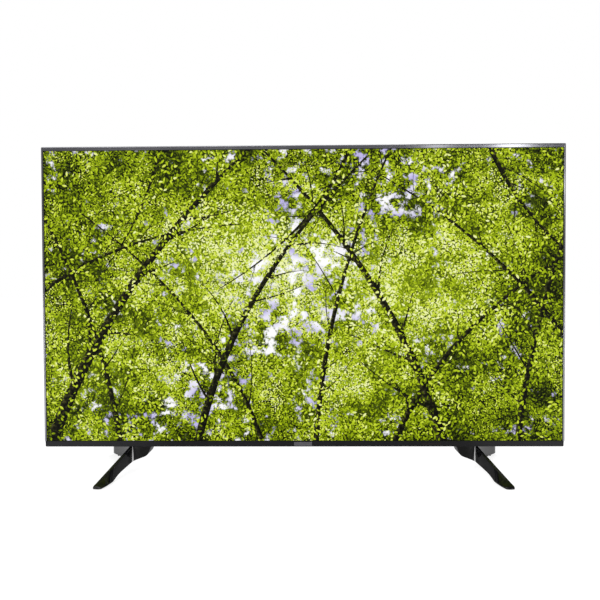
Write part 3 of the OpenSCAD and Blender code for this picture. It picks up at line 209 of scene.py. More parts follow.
def printed_board(name, mask, trace, pad, pitch):
    """Circuit board under solder mask: copper runs show through as a paler tint, with tinned pads in rows."""
    material, tree, shader, coords = start_finish(name)
    bend = put(tree, "TexVoronoi", {"Vector": coords, "Scale": per_mm(pitch * 6)}, distance="CHEBYCHEV")
    run = put(tree, "TexWave", {"Vector": bend.outputs["Position"], "Scale": per_mm(pitch) / 6,
                                "Distortion": 1.5}).outputs["Fac"]
    lines = put(tree, "TexBrick", {"Vector": coords, "Scale": per_mm(pitch * 4), "Mortar Size": 0.06,
                                   "Color1": (1, 1, 1, 1), "Color2": (0.6, 0.6, 0.6, 1),
                                   "Mortar": (0, 0, 0, 1)}).outputs["Fac"]
    dots = put(tree, "TexVoronoi", {"Vector": coords, "Scale": per_mm(pitch * 2), "Randomness": 0.35})
    copper = put(tree, "Math", {0: run, 1: lines}, operation="MULTIPLY").outputs[0]
    base = put(tree, "ValToRGB", {"Fac": copper}, stops=[(0.1, mask), (0.75, trace)]).outputs["Color"]
    tinned = put(tree, "Math", {0: dots.outputs["Distance"], 1: 0.2}, operation="LESS_THAN").outputs[0]
    colour = put(tree, "Mix", {0: tinned, 6: base, 7: linear(pad)}, data_type="RGBA").outputs[2]
    gloss = put(tree, "MapRange", {"Value": copper, "To Min": 0.42, "To Max": 0.28}).outputs[0]
    bump = put(tree, "Bump", {"Height": tinned, "Strength": 0.4, "Distance": 0.1 * MM}).outputs[0]
    coat(tree, shader, colour, gloss, bump)
    return material


def banded(name, dark, light, axis, band, rough, relief):
    """Parallel bands across one axis, as on wound tape, ribbon conductors or pressed prisms."""
    material, tree, shader, coords = start_finish(name)
    wave = put(tree, "TexWave", {"Vector": coords, "Scale": per_mm(band) / 20 * math.pi, "Distortion": 0.3},
               bands_direction=axis).outputs["Fac"]
    worn = put(tree, "TexNoise", {"Vector": coords, "Scale": per_mm(WEAR), "Detail": 4.0}).outputs["Fac"]
    tone = put(tree, "Math", {0: wave, 1: worn}, operation="MULTIPLY").outputs[0]
    colour = put(tree, "ValToRGB", {"Fac": tone}, stops=[(0.05, dark), (0.55, light)]).outputs["Color"]
    gloss = put(tree, "MapRange", {"Value": worn, "To Min": rough[0], "To Max": rough[1]}).outputs[0]
    bump = put(tree, "Bump", {"Height": wave, "Strength": 0.5, "Distance": relief * MM}).outputs[0]
    coat(tree, shader, colour, gloss, bump)
    return material


# Leaves of the lit picture, from the farthest layer to the nearest: spacing in millimetres, length and width
# as a share of it, how many of the places hold a leaf, and how light the layer is
LEAF_LAYERS = (
    (4.5, 0.62, 0.34, 1.00, -0.36),
    (6.5, 0.60, 0.30, 0.80, -0.38),
    (9.0, 0.58, 0.26, 0.58, -0.38),
    (12.0, 0.55, 0.22, 0.36, -0.36),
)
SHOOTS_AFTER_LAYER = 1
LEAF_TONES = [(0.0, "#040600"), (0.08, "#161d00"), (0.28, "#506100"), (0.5, "#849a06"),
              (0.7, "#b6cd1e"), (0.86, "#d8e650"), (1.0, "#f0f6b0")]
# How much the light behind a leaf, chance, its clump and its fold lift its tone
LIGHT_SHARE, CHANCE_SHARE, CLUMP_SHARE, FOLD_SHARE = 0.74, 0.46, 0.66, 0.07
# Sizes in the picture, in millimetres: clumps of leaves, mottling far behind, haze of the sky, ridges of bark
CLUMP, MOTTLE, HAZE, BARK = 70.0, 30.0, 90.0, 7.0
# Shift and turn of a layer of leaves, and shift of its clumps, against the layer before
LAYER_SHIFT = (3.7, 1.9)
LAYER_TURN = 0.7
CLUMP_SHIFT = 7.3
# How much fuller of leaves a clump is, how much emptier the rest and an opening are, and how steeply leaves
# shrink there
CLUMPED = 0.5
SPARSE = 0.2
OPENED = 0.85
SHRINK = 4.0
# How much a cane darkens towards one side, how much light behind lifts it, and how far off it is still drawn
CANE_ROUND = 0.16
CANE_LIGHT = 0.16
CANE_NEAR = 4.0


def lit_picture():
    """Liquid crystal panel, lit from behind: its light gives the colour, the anti-glare film a soft sheen.

    The picture is a sunlit thicket. A layer of leaves is a scatter of lens shapes: in a cell of the scatter,
    turned at random, a point is in the leaf where (along / length) squared plus across / width is under 1.
    """
    material, tree, shader, coords = start_finish("lit_picture", roughness=0.35, specular_ior_level=0.03,
                                                  emission_strength=1.0)
    shader.inputs["Base Color"].default_value = linear("#050506")
    flat = put(tree, "Mapping", {"Vector": coords, "Rotation": (-math.pi / 2, 0, 0)}).outputs[0]
    glow, gap, offset, half, clear, lit = [
        put(tree, "Attribute", attribute_name=name).outputs["Fac"]
        for name in ("glow", "gap", "shoot_offset", "shoot_half", "shoot_clear", "lit")]

    # Sky through the gaps, and blurred foliage far behind
    mottle = put(tree, "TexNoise", {"Vector": flat, "Scale": per_mm(MOTTLE), "Detail": 6.0,
                                    "Roughness": 0.65}, noise_dimensions="2D").outputs["Fac"]
    far_tone = put(tree, "Math", {0: mottle, 1: glow}, operation="MULTIPLY").outputs[0]
    far = put(tree, "ValToRGB", {"Fac": far_tone}, stops=[
        (0.08, "#0b0f00"), (0.22, "#303c04"), (0.38, "#788c14"), (0.52, "#b4c440")]).outputs["Color"]
    torn = put(tree, "Math", {0: mottle, 1: 0.9, 2: gap}, operation="MULTIPLY_ADD").outputs[0]
    haze = put(tree, "TexNoise", {"Vector": flat, "Scale": per_mm(HAZE), "Detail": 2.0},
               noise_dimensions="2D")
    sky = put(tree, "ValToRGB", {"Fac": haze.outputs["Fac"]}, stops=[
        (0.36, "#c0b9ea"), (0.46, "#e2e0f4"), (0.56, "#ffffff")]).outputs["Color"]
    opening = put(tree, "MapRange", {"Value": torn, "From Min": 0.60, "From Max": 0.70}).outputs[0]
    picture = put(tree, "Mix", {0: opening, 6: far, 7: sky}, data_type="RGBA").outputs[2]

    for number, (cell, length, width, share, level) in enumerate(LEAF_LAYERS):
        place = put(tree, "Mapping", {"Vector": flat,
                                      "Location": (*(number * shift for shift in LAYER_SHIFT), 0),
                                      "Rotation": (0, 0, LAYER_TURN * number),
                                      "Scale": (per_mm(cell),) * 3}).outputs[0]
        spot = put(tree, "TexVoronoi", {"Vector": place, "Scale": 1.0}, voronoi_dimensions="2D").outputs
        chance = put(tree, "SeparateColor", {"Color": spot["Color"]}).outputs
        inward = put(tree, "VectorMath", {0: place, 1: spot["Position"]}, operation="SUBTRACT").outputs[0]
        turn = put(tree, "Math", {0: chance["Red"], 1: 2 * math.pi}, operation="MULTIPLY").outputs[0]
        leaf = put(tree, "VectorRotate", {"Vector": inward, "Angle": turn}, rotation_type="Z_AXIS").outputs[0]
        slim = (1 / length, 1 / width, 0)
        spread = put(tree, "VectorMath", {0: leaf, 1: slim}, operation="MULTIPLY").outputs[0]
        both = put(tree, "VectorMath", {0: spread}, operation="ABSOLUTE").outputs[0]
        along, across, _ = put(tree, "SeparateXYZ", {0: both}).outputs
        edge = put(tree, "Math", {0: along, 1: along, 2: across}, operation="MULTIPLY_ADD").outputs[0]
        # Leaves gather in clumps, and are fewer and smaller where the thicket opens
        drift = put(tree, "Mapping", {"Vector": flat, "Location": (0, 0, CLUMP_SHIFT * number),
                                      "Scale": (per_mm(CLUMP),) * 3}).outputs[0]
        cloud = put(tree, "TexNoise", {"Vector": drift, "Scale": 1.0, "Detail": 3.0}).outputs["Fac"]
        clump = put(tree, "MapRange", {"Value": cloud, "From Min": 0.36, "From Max": 0.64}).outputs[0]
        dense = put(tree, "Math", {0: clump, 1: CLUMPED, 2: share - SPARSE},
                    operation="MULTIPLY_ADD").outputs[0]
        room = put(tree, "Math", {0: opening, 1: -OPENED, 2: dense}, operation="MULTIPLY_ADD").outputs[0]
        size = put(tree, "Math", {0: room, 1: chance["Green"]}, operation="SUBTRACT").outputs[0]
        reach = put(tree, "Math", {0: size, 1: SHRINK}, operation="MULTIPLY", use_clamp=True).outputs[0]
        inside = put(tree, "Math", {0: edge, 1: reach}, operation="LESS_THAN").outputs[0]
        # A leaf's tone: the light behind it, its clump, chance, and one half folded towards the light
        fold = put(tree, "SeparateXYZ", {0: leaf}).outputs["Y"]
        tone = put(tree, "Math", {0: fold, 1: 0.0}, operation="GREATER_THAN").outputs[0]
        tone = put(tree, "Math", {0: tone, 1: FOLD_SHARE, 2: level}, operation="MULTIPLY_ADD").outputs[0]
        for part, weight in ((glow, LIGHT_SHARE), (chance["Blue"], CHANCE_SHARE), (clump, CLUMP_SHARE)):
            tone = put(tree, "Math", {0: part, 1: weight, 2: tone}, operation="MULTIPLY_ADD").outputs[0]
        green = put(tree, "ValToRGB", {"Fac": tone}, stops=LEAF_TONES).outputs["Color"]
        picture = put(tree, "Mix", {0: inside, 6: picture, 7: green}, data_type="RGBA").outputs[2]
        if number == SHOOTS_AFTER_LAYER:
            picture = shoots_over(tree, picture, flat, glow, offset, half, clear)

    shown = put(tree, "Mix", {0: lit, 6: (0, 0, 0, 1), 7: picture}, data_type="RGBA").outputs[2]
    tree.links.new(shown, shader.inputs["Emission Color"])
    return material


def shoots_over(tree, picture, flat, glow, offset, half, clear):
    """Canes and twigs over the far leaves: bark where the offset from the nearest is under its half width."""
    bark = put(tree, "TexNoise", {"Vector": flat, "Scale": per_mm(BARK), "Detail": 4.0},
               noise_dimensions="2D").outputs["Fac"]
    across = put(tree, "Math", {0: offset, 1: half}, operation="DIVIDE").outputs[0]
    turned = put(tree, "Math", {0: across, 1: -CANE_ROUND, 2: bark}, operation="MULTIPLY_ADD").outputs[0]
    tone = put(tree, "Math", {0: glow, 1: CANE_LIGHT, 2: turned}, operation="MULTIPLY_ADD").outputs[0]
    wood = put(tree, "ValToRGB", {"Fac": tone}, stops=[
        (0.40, "#080803"), (0.60, "#17180a"), (0.78, "#35351a"), (0.95, "#6a6a38")]).outputs["Color"]
    width = put(tree, "Math", {0: offset}, operation="ABSOLUTE").outputs[0]
    within = put(tree, "Math", {0: width, 1: half}, operation="LESS_THAN").outputs[0]
    near = put(tree, "Math", {0: clear, 1: CANE_NEAR}, operation="LESS_THAN").outputs[0]
    mask = put(tree, "Math", {0: within, 1: near}, operation="MULTIPLY").outputs[0]
    return put(tree, "Mix", {0: mask, 6: picture, 7: wood}, data_type="RGBA").outputs[2]


FINISHES = {
    "screen": lit_picture(),
    # Anodised aluminium, brushed along the strips: dull silver that draws highlights out across the brushing.
    # Real scratches are 0.05 mm wide; drawn ten times coarser so that they show.
    "bezel_metal": brushed("brushed_aluminium", "#707076", "#a0a0a6", (60, 0.5, 0.5), (0.10, 0.18), 0.004),
    # Satin black ABS: a soft grey sheen with no clear reflections
    "bar_plastic": moulded("satin_black_bar", "#111113", "#1a1a1d", 0.8, (0.32, 0.45), 0.02, ior=1.3),
    # Plain nickel-plated strip: a dull cool glint
    "badge_metal": brushed("badge_nickel", "#7e7b86", "#a5a2ac", (30, 0.4, 0.4), (0.22, 0.34), 0.01),
    # Dark infrared-clear acrylic: almost black, wet gloss, a hint of red
    "receiver_plastic": moulded("receiver_acrylic", "#120c0d", "#1d1416", 1.5, (0.06, 0.12), 0.004),
    # Open-celled black foam: no gloss at all
    "gasket_foam": moulded("foam_gasket", "#101010", "#262626", 0.6, (0.85, 0.98), 0.2),
    # White polycarbonate, glossy in the mould: warm white with a broad sheen
    "frame_plastic": moulded("white_polycarbonate", "#d4d2ca", "#eceae4", 1.2, (0.35, 0.5), 0.02),
    # Clear film with pressed prism lines: silvery, streaked across the lines
    "optical_film": banded("prism_film", "#b9c6d0", "#e2eaf0", "Z", 0.6, (0.12, 0.25), 0.02),
    # Acrylic with a white filler: milky and soft
    "diffuser_plastic": moulded("milky_acrylic", "#e6e5de", "#f6f5f0", 2.0, (0.45, 0.6), 0.01),
    # Foamed polyester film: matt paper white
    "reflector_film": moulded("white_reflector_film", "#dededc", "#f4f4f2", 1.0, (0.55, 0.7), 0.01),
    # Lamp strip under white solder mask: cream pads on white
    "lamp_bar": printed_board("lamp_bar_mask", "#dcdcd4", "#f0f0ea", "#c8c4a8", 1.4),
    # Moulded acrylic lenses: clear grey with sharp glints
    "lens_plastic": moulded("lens_acrylic", "#cdd6da", "#e8f0f2", 3.0, (0.05, 0.12), 0.005),
    # Hot-dip zinc coating on sheet steel: a patchwork of grey crystals
    "tray_steel": plated("zinc_coated_steel", "#7c8084", "#c2c6ca", 9.0, (0.28, 0.5)),
    # Nickel plate on turned steel: bright and even
    "bright_steel": plated("nickel_plated_steel", "#a4a6a8", "#d8dadc", 2.5, (0.15, 0.3)),
    # Glass-fibre board under green mask, and paper board without: runs and pads show through
    "green_board": printed_board("green_solder_mask", "#0c3a1c", "#1d6a36", "#c8c8b4", 0.8),
    "brown_board": printed_board("brown_paper_board", "#6a4a24", "#94702f", "#c8c0a0", 1.6),
    # Epoxy moulding compound: sooty black, half matt
    "board_parts": moulded("epoxy_black", "#131315", "#2a2a2d", 0.7, (0.4, 0.6), 0.03),
    # Black-anodised extrusion: dark metal with lines along the pull
    "heatsink_metal": brushed("black_anodised_extrusion", "#1c1c1f", "#3a3a3e", (0.4, 0.4, 40), (0.3, 0.45),
                              0.02),
    # Polyester tape wound round the core: glossy yellow bands
    "transformer_tape": banded("wound_yellow_tape", "#8a6a10", "#d4b02c", "Z", 5.0, (0.25, 0.4), 0.1),
    # Shrunk vinyl sleeve: smooth, dark, with a clear gloss
    "capacitor_sleeve": moulded("shrunk_sleeve", "#15161c", "#2c2e3a", 1.0, (0.2, 0.32), 0.01),
    # Tinned brass shells: bright grey with fine grains
    "socket_metal": plated("tinned_brass", "#9a9c9e", "#d2d4d6", 1.6, (0.18, 0.32)),
    # Black nylon: dull, with a waxy sheen
    "socket_plastic": moulded("nylon_black", "#111113", "#232326", 0.7, (0.4, 0.55), 0.03),
    # Polyimide film over copper runs: glossy amber stripes
    "flex_film": banded("amber_flex_film", "#7a4a10", "#c07c24", "X", 0.8, (0.15, 0.25), 0.01),
    # Flat ribbon: white vinyl ridged over its conductors
    "ribbon_plastic": banded("white_flat_ribbon", "#c0c0bc", "#efefea", "X", 1.25, (0.3, 0.45), 0.08),
    # Black polystyrene: half matt
    "speaker_plastic": moulded("speaker_polystyrene", "#17171a", "#26262a", 0.9, (0.45, 0.6), 0.03),
    # Painted steel basket: dark grey with an uneven sheen
    "speaker_metal": plated("painted_basket_steel", "#2a2a2c", "#5a5c5e", 3.0, (0.3, 0.5)),
    # Pressed paper pulp with a doped face: matt and fibrous
    "cone_paper": moulded("pressed_paper_cone", "#16150f", "#34322a", 0.5, (0.7, 0.9), 0.12),
    # Vinyl-insulated lead: dark, with a soft gloss
    "lead_rubber": moulded("insulated_lead", "#181818", "#34302c", 1.2, (0.35, 0.5), 0.02),
    # Textured ABS of the rear cover: matt, slightly grey where the spark texture catches light
    "cover_plastic": moulded("spark_textured_abs", "#191a1c", "#2b2c2f", 1.1, (0.5, 0.68), 0.09),
    # Satin ABS of the key: a touch glossier than the cover
    "key_plastic": moulded("satin_key_abs", "#131315", "#1f1f22", 0.8, (0.3, 0.42), 0.02),
    # Black oxide on steel screws: dark with dull metal glints
    "dark_screw": plated("black_oxide_steel", "#1c1c1e", "#4a4a4e", 1.5, (0.3, 0.45)),
    # High-gloss black moulding of the feet, with a faint orange peel: deep black with clear reflections
    "foot_plastic": moulded("gloss_black_abs", "#08080a", "#0f0f11", 9.0, (0.07, 0.13), 0.02, ior=1.45),
    # Moulded rubber: dead matt
    "pad_rubber": moulded("pad_rubber", "#0c0c0c", "#1e1e1e", 0.6, (0.75, 0.9), 0.06),
}


# Meshes

def grid_faces(rows, columns, wrap=False):
    """Quads between neighbouring rows and columns of points; on a ring the last column joins the first."""
    index = np.arange(rows * columns).reshape(rows, columns)
    nxt = np.roll(index, -1, axis=1) if wrap else index[:, 1:]
    here = index if wrap else index[:, :-1]
    return np.stack([here[:-1], nxt[:-1], nxt[1:], here[1:]], axis=-1).reshape(-1, 4)


def mesh_of(name, points, faces):
    """Closed mesh from points in millimetres, with every face turned outwards."""
    mesh = bpy.data.meshes.new(name)
    mesh.from_pydata((np.asarray(points) * MM).tolist(), [], [list(face) for face in faces])
    shell = bmesh.new()
    shell.from_mesh(mesh)
    bmesh.ops.recalc_face_normals(shell, faces=shell.faces)
    shell.to_mesh(mesh)
    shell.free()
    return mesh


def show(name, mesh, node, slot, smooth=35, body="set"):
    """Shows a mesh in place of a solid, smooth except over edges sharper than an angle in degrees."""
    piece = bpy.data.objects.new(name, mesh)
    bpy.context.scene.collection.objects.link(piece)
    mesh.shade_smooth()
    mesh.set_sharp_from_angle(angle=math.radians(smooth))
    mesh.materials.clear()
    mesh.materials.append(FINISHES[slot])
    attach(piece, body)
    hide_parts(node)
    return piece


def loft(rings):
    """Closed skin over a row of rings: quads between neighbours and one face over each end."""
    rows, columns = rings.shape[:2]
    ends = [np.arange(columns)[::-1], np.arange(columns) + (rows - 1) * columns]
    return rings.reshape(-1, 3), [*grid_faces(rows, columns, wrap=True), *ends]


# Rounded copies of solids: points closer than this in millimetres are merged, faces within an angle in
# degrees count as one, sharper edges than another are rounded in so many segments, and shading is smooth up
# to a third
WELD = 0.002
ONE_FACE = 0.2
ROUND_FROM = 25
ROUND_SEGMENTS = 2
SMOOTH_TO = 16


def softened(node, width, slot, body="set"):
    """Merged copy of a solid whose sharp edges are rounded over a width in millimetres."""
    mesh = frame["nodes"][node].data.copy()
    shell = bmesh.new()
    shell.from_mesh(mesh)
    bmesh.ops.remove_doubles(shell, verts=shell.verts, dist=WELD * MM)
    bmesh.ops.dissolve_limit(shell, angle_limit=math.radians(ONE_FACE), verts=shell.verts, edges=shell.edges)
    shell.to_mesh(mesh)
    shell.free()
    piece = show(node + "_finished", mesh, node, slot, smooth=SMOOTH_TO, body=body)
    bevel = piece.modifiers.new("rounded_edges", "BEVEL")
    bevel.width = width * MM
    bevel.segments = ROUND_SEGMENTS
    bevel.limit_method = "ANGLE"
    bevel.angle_limit = math.radians(ROUND_FROM)
    bevel.use_clamp_overlap = True
    bevel.harden_normals = True
    return piece


def combine(base, others):
    """Mesh of a base with other closed meshes joined to it ("UNION") or cut from it ("DIFFERENCE")."""
    scene = bpy.context.scene.collection
    body = bpy.data.objects.new("joining", base)
    scene.objects.link(body)
    tools = []
    for mesh, operation in others:
        tool = bpy.data.objects.new("tool", mesh)
        scene.objects.link(tool)
        tools.append(tool)
        step = body.modifiers.new("step", "BOOLEAN")
        step.object = tool
        step.operation = operation
        step.solver = "EXACT"
    view = bpy.context.evaluated_depsgraph_get()
    made = bpy.data.meshes.new_from_object(body.evaluated_get(view))
    for spare in (body, *tools):
        bpy.data.objects.remove(spare)
    return made


# Lit picture

# Arching canes: root, direction from upright, length, how far their end turns, and half thickness at the root
CANES = (
    (-600.0, 60.0, 0.35, 900.0, 0.55, 15.0),
    (-430.0, 60.0, -0.12, 720.0, -0.50, 7.0),
    (-250.0, 60.0, 0.20, 760.0, 0.70, 10.0),
    (-90.0, 60.0, -0.30, 700.0, -0.80, 5.5),
    (30.0, 60.0, 0.05, 800.0, 0.45, 7.0),
    (210.0, 60.0, 0.35, 640.0, 0.90, 8.0),
    (330.0, 60.0, -0.25, 780.0, -0.60, 12.0),
    (500.0, 60.0, 0.10, 760.0, 0.35, 8.0),
    (625.0, 300.0, -0.60, 600.0, -0.50, 6.0),
    (-625.0, 420.0, 0.90, 480.0, 0.70, 5.0),
    (120.0, 780.0, 3.50, 430.0, 0.80, 5.0),
    (430.0, 780.0, 2.80, 380.0, -0.70, 6.0),
    (-330.0, 780.0, 3.30, 350.0, 0.60, 4.0),
)
# Twigs along a cane: how many, between which shares of its length and how far from even steps, their angle
# from the cane, length, bend and thickness as a share of the cane's, and how much they shrink towards its end
TWIGS = 8
TWIG_SPAN = (0.14, 0.92)
TWIG_JITTER = 0.04
TWIG_ANGLE = (0.4, 0.95)
TWIG_LENGTH = (80, 210)
TWIG_FIRST = 1.15
TWIG_BEND = 0.8
TWIG_THICK = 0.34
TWIG_SHRINK = 0.6
SEED = 41


def shoots():
    """The canes and the twigs along them, each as root, direction, length, curvature and half thickness."""
    draw = np.random.default_rng(SEED)
    grown = []
    for x, z, lean, length, turned, thick in CANES:
        grown.append((x, z, lean, length, turned / length, thick))
        for share in np.linspace(*TWIG_SPAN, TWIGS) + draw.uniform(-TWIG_JITTER, TWIG_JITTER, TWIGS):
            run, bow = share * length, turned * share ** 2 * length / 2
            side = draw.choice([-1.0, 1.0])
            heading = lean + math.atan(turned * share) + side * draw.uniform(*TWIG_ANGLE)
            reach = draw.uniform(*TWIG_LENGTH) * (TWIG_FIRST - TWIG_SHRINK * share)
            grown.append((x + run * math.sin(lean) + bow * math.cos(lean),
                          z + run * math.cos(lean) - bow * math.sin(lean),
                          heading, reach, draw.uniform(-TWIG_BEND, TWIG_BEND) / reach,
                          TWIG_THICK * thick * (1 - TWIG_SHRINK * share)))
    return grown


def shoot_fields(x, z):
    """Signed offset and half width of the nearest shoot at every point, and how far the point is clear of it.

    In a shoot's own frame s runs along its root's direction and n across. Its middle is at half the curvature
    times s squared, so the offset is n less that, times the cosine of the slope. The half width falls to a
    fifth at the end.
    """
    offset, half, clear = (np.full_like(x, value) for value in (1e3, 0.0, 1e3))
    for root_x, root_z, lean, length, curve, thick in shoots():
        dx, dz = x - root_x, z - root_z
        s = dx * math.sin(lean) + dz * math.cos(lean)
        n = dx * math.cos(lean) - dz * math.sin(lean) - curve * s ** 2 / 2
        n = n / np.sqrt(1 + (curve * s) ** 2)
        beyond = np.maximum(np.maximum(-s, s - length), 0)
        wide = np.where(beyond > 0, 0.0, np.maximum(thick * (1 - 0.8 * np.clip(s / length, 0, 1)), 0.5))
        away = np.hypot(np.maximum(np.abs(n) - wide, 0), beyond) - wide * (np.abs(n) < wide)
        nearer = away < clear
        offset = np.where(nearer, n, offset)
        half = np.where(nearer, wide, half)
        clear = np.where(nearer, away, clear)
    return offset, half, clear


# Hills of light behind the thicket: middle, reach across and up, and height
HILLS = (
    (-150.0, 500.0, 300.0, 190.0, 0.52),
    (260.0, 420.0, 230.0, 170.0, 0.42),
    (470.0, 640.0, 160.0, 120.0, 0.22),
    (-480.0, 240.0, 170.0, 150.0, 0.30),
    (60.0, 190.0, 220.0, 110.0, 0.30),
)
# Light where no hill is; the diagonal's direction and the height where it starts; two ripples, each with its
# length, sway and the length of its sway; middle and reach of the clearing along the diagonal; and how much
# ripples, clearing and light open the thicket
BASE_LIGHT = 0.20
DIAGONAL = (0.62, 0.78, 420.0)
RIPPLES = ((61.0, 1.7, 97.0), (53.0, 1.3, 83.0))
CLEARING = (40.0, 170.0)
OPENING_SHARES = (0.07, 0.10, 0.06)


def light_fields(x, z):
    """Glow of the light, a sum of soft hills, and the gaps, ripples along a rising diagonal."""
    glow = BASE_LIGHT + sum(high * np.exp(-((x - a) / b) ** 2 - ((z - c) / d) ** 2)
                            for a, c, b, d, high in HILLS)
    run, rise, level = DIAGONAL
    along = run * x + rise * (z - level)
    across = -rise * x + run * (z - level)
    first, second = (np.sin(main / length + sway * np.sin(other / swing))
                     for main, other, (length, sway, swing) in zip((along, across), (across, along), RIPPLES))
    band = np.exp(-((across - CLEARING[0]) / CLEARING[1]) ** 2)
    by_ripple, by_band, by_light = OPENING_SHARES
    return np.clip(glow, 0.0, 1.0), by_ripple * (first * second) + by_band * band + by_light * glow


def picture_panel():
    """Slab of glass with a fine grid of points in front, which carry the fields that draw the picture."""
    def lines(low, high, edge_low, edge_high, cells):
        inner = np.linspace(low + EDGE_STEP, high - EDGE_STEP, cells + 1)
        return np.concatenate([[edge_low, low - EDGE_STEP], inner, [high + EDGE_STEP, edge_high]])

    across = lines(-PICTURE_X, PICTURE_X, -GLASS_X, GLASS_X, PICTURE_CELLS[0])
    up = lines(*PICTURE_Z, *GLASS_Z, PICTURE_CELLS[1])
    x, z = np.meshgrid(across, up)
    rows, columns = x.shape
    front = np.stack([x, np.full_like(x, GLASS_Y[0]), z], axis=-1).reshape(-1, 3)
    index = np.arange(rows * columns).reshape(rows, columns)
    rim = np.concatenate([index[0, :-1], index[:-1, -1], index[-1, :0:-1], index[:0:-1, 0]])
    back = front[rim] * [1, 0, 1] + [0, GLASS_Y[1], 0]
    back_index = len(front) + np.arange(len(rim))
    walls = np.stack([rim, np.roll(rim, -1), np.roll(back_index, -1), back_index], axis=-1)
    mesh = mesh_of("picture_panel", np.concatenate([front, back]),
                   [*grid_faces(rows, columns), *walls, back_index])

    inside = (np.abs(x) < PICTURE_X) & (z > PICTURE_Z[0]) & (z < PICTURE_Z[1])
    offset, half, clear = shoot_fields(x, z)
    glow, gap = light_fields(x, z)
    fields = {"lit": inside, "glow": glow, "gap": gap, "shoot_offset": offset, "shoot_half": half,
              "shoot_clear": clear}
    for name, values in fields.items():
        whole = np.concatenate([values.ravel(), np.zeros(len(back))]).astype(np.float32)
        mesh.attributes.new(name, "FLOAT", "POINT").data.foreach_set("value", whole)
    return show("picture_panel", mesh, "lcd_glass", "screen", smooth=20)


# Feet

def leg_path(y):
    """How far out the middle of a leg's path is at a depth y, and the share u of its reach there."""
    u = (y - APEX_Y) / np.where(y < APEX_Y, *LEG_REACH)
    return FOOT_X + np.where(u < 0, *SPLAY) * np.abs(u) ** LEG_BOW, u


def leg_top(u):
    """Height of a leg's top, which falls from the seat to the tip a little slower at first."""
    return SEAT_Z - (SEAT_Z - np.where(u < 0, *TIP_H)) * np.abs(u) ** TOP_POWER


def leg_rings():
    """Rings along both legs of a foot, from the front tip, u = -1, past the knee to the rear tip, u = 1.

    The path goes out by splay * |u| ** bow and back by u * reach. The sole arches as 1 - (|u| / start) **
    power, and the last stretch narrows as a quarter ellipse. A ring is a rounded upright shape of thickness
    2 * half, and the front leg's inner face slants out to a toe that grows along a smooth step.
    """
    u = np.sin(np.linspace(-np.pi / 2, np.pi / 2, LEG_STEPS))
    y = APEX_Y + u * np.where(u < 0, *LEG_REACH)
    path = np.stack([leg_path(y)[0], y], axis=-1)
    along = np.gradient(path, axis=0)
    along /= np.linalg.norm(along, axis=1)[:, None]
    out = np.stack([along[:, 1], -along[:, 0]], axis=-1)
    far = np.abs(u)
    high = leg_top(u)
    low = PAD_T + (KNEE_H - PAD_T) * (1 - np.minimum(1, far / SOLE_START) ** ARCH_POWER)
    start = np.where(u < 0, *NOSE_START)
    nose = np.sqrt(1 - np.clip((far - start) / (1 - start), 0, 0.97) ** 2)
    half = LEG_T / 2 * nose
    step = np.clip((-u - TOE_START) / (NOSE_START[0] - TOE_START), 0, 1)
    toe = TOE_W * step ** 2 * (3 - 2 * step) * nose
    edge = np.minimum(np.minimum(LEG_ROUND, half * 0.8), (high - low) / 3)

    slant = np.pi - np.arctan2(toe, high - low - 2 * edge)
    right, top, left, bottom = (np.full_like(u, angle) for angle in (0, np.pi / 2, 1.5 * np.pi, 2 * np.pi))
    corners = ((half - edge, high - edge, right, top), (edge - half, high - edge, top, slant),
               (edge - half - toe, low + edge, slant, left), (half - edge, low + edge, left, bottom))
    sideways, height = [], []
    for side, up, first, last in corners:
        angle = np.linspace(first, last, CORNER_STEPS, axis=1)
        sideways.append(side[:, None] + edge[:, None] * np.cos(angle))
        height.append(up[:, None] + edge[:, None] * np.sin(angle))
    sideways, height = np.concatenate(sideways, axis=1), np.concatenate(height, axis=1)
    place = path[:, None] + sideways[..., None] * out[:, None]
    return np.concatenate([place, height[..., None]], axis=-1)


def bend(start, corner, end):
    """Points of a curve that leaves its start and reaches its end along their lines to the corner."""
    t = np.linspace(0, 1, BEND_STEPS)[:, None]
    return (1 - t) ** 2 * start + 2 * t * (1 - t) * corner + t ** 2 * end


def head_rings():
    """Rings through the head, from front to back: its outline drawn in at both ends along a quarter circle.

    The top stays whole, so that the head meets the cover, and the outer end follows the middle of the legs.
    """
    corner = np.array([HEAD_IN + HEAD_LEAN, HEAD_Z])
    inner, knee = np.array([HEAD_IN, SEAT_Z]), np.array([FOOT_X, KNEE_H])
    start = corner + HEAD_ROUND * (inner - corner) / np.linalg.norm(inner - corner)
    end = corner + HEAD_ROUND * (knee - corner) / np.linalg.norm(knee - corner)
    outline = np.concatenate([[inner], bend(start, corner, end), [knee], [knee], [[FOOT_X, SEAT_Z]]])
    turn = np.linspace(0, np.pi / 2, END_STEPS)
    inset = HEAD_EDGE * np.concatenate([1 - np.sin(turn), 1 - np.sin(turn[::-1])])
    step = HEAD_EDGE * (1 - np.cos(turn))
    y = np.concatenate([HEAD_Y[0] + step, HEAD_Y[1] - step[::-1]])
    seat = np.array([FOOT_X, SEAT_Z])
    share = (seat - outline) / (seat - [HEAD_IN, KNEE_H])
    flat = outline + inset[:, None, None] * share
    flat[:, -2:, 0] = leg_path(y)[0][:, None] + OVERLAP
    return np.stack([flat[..., 0], np.broadcast_to(y[:, None], flat.shape[:2]), flat[..., 1]], axis=-1)


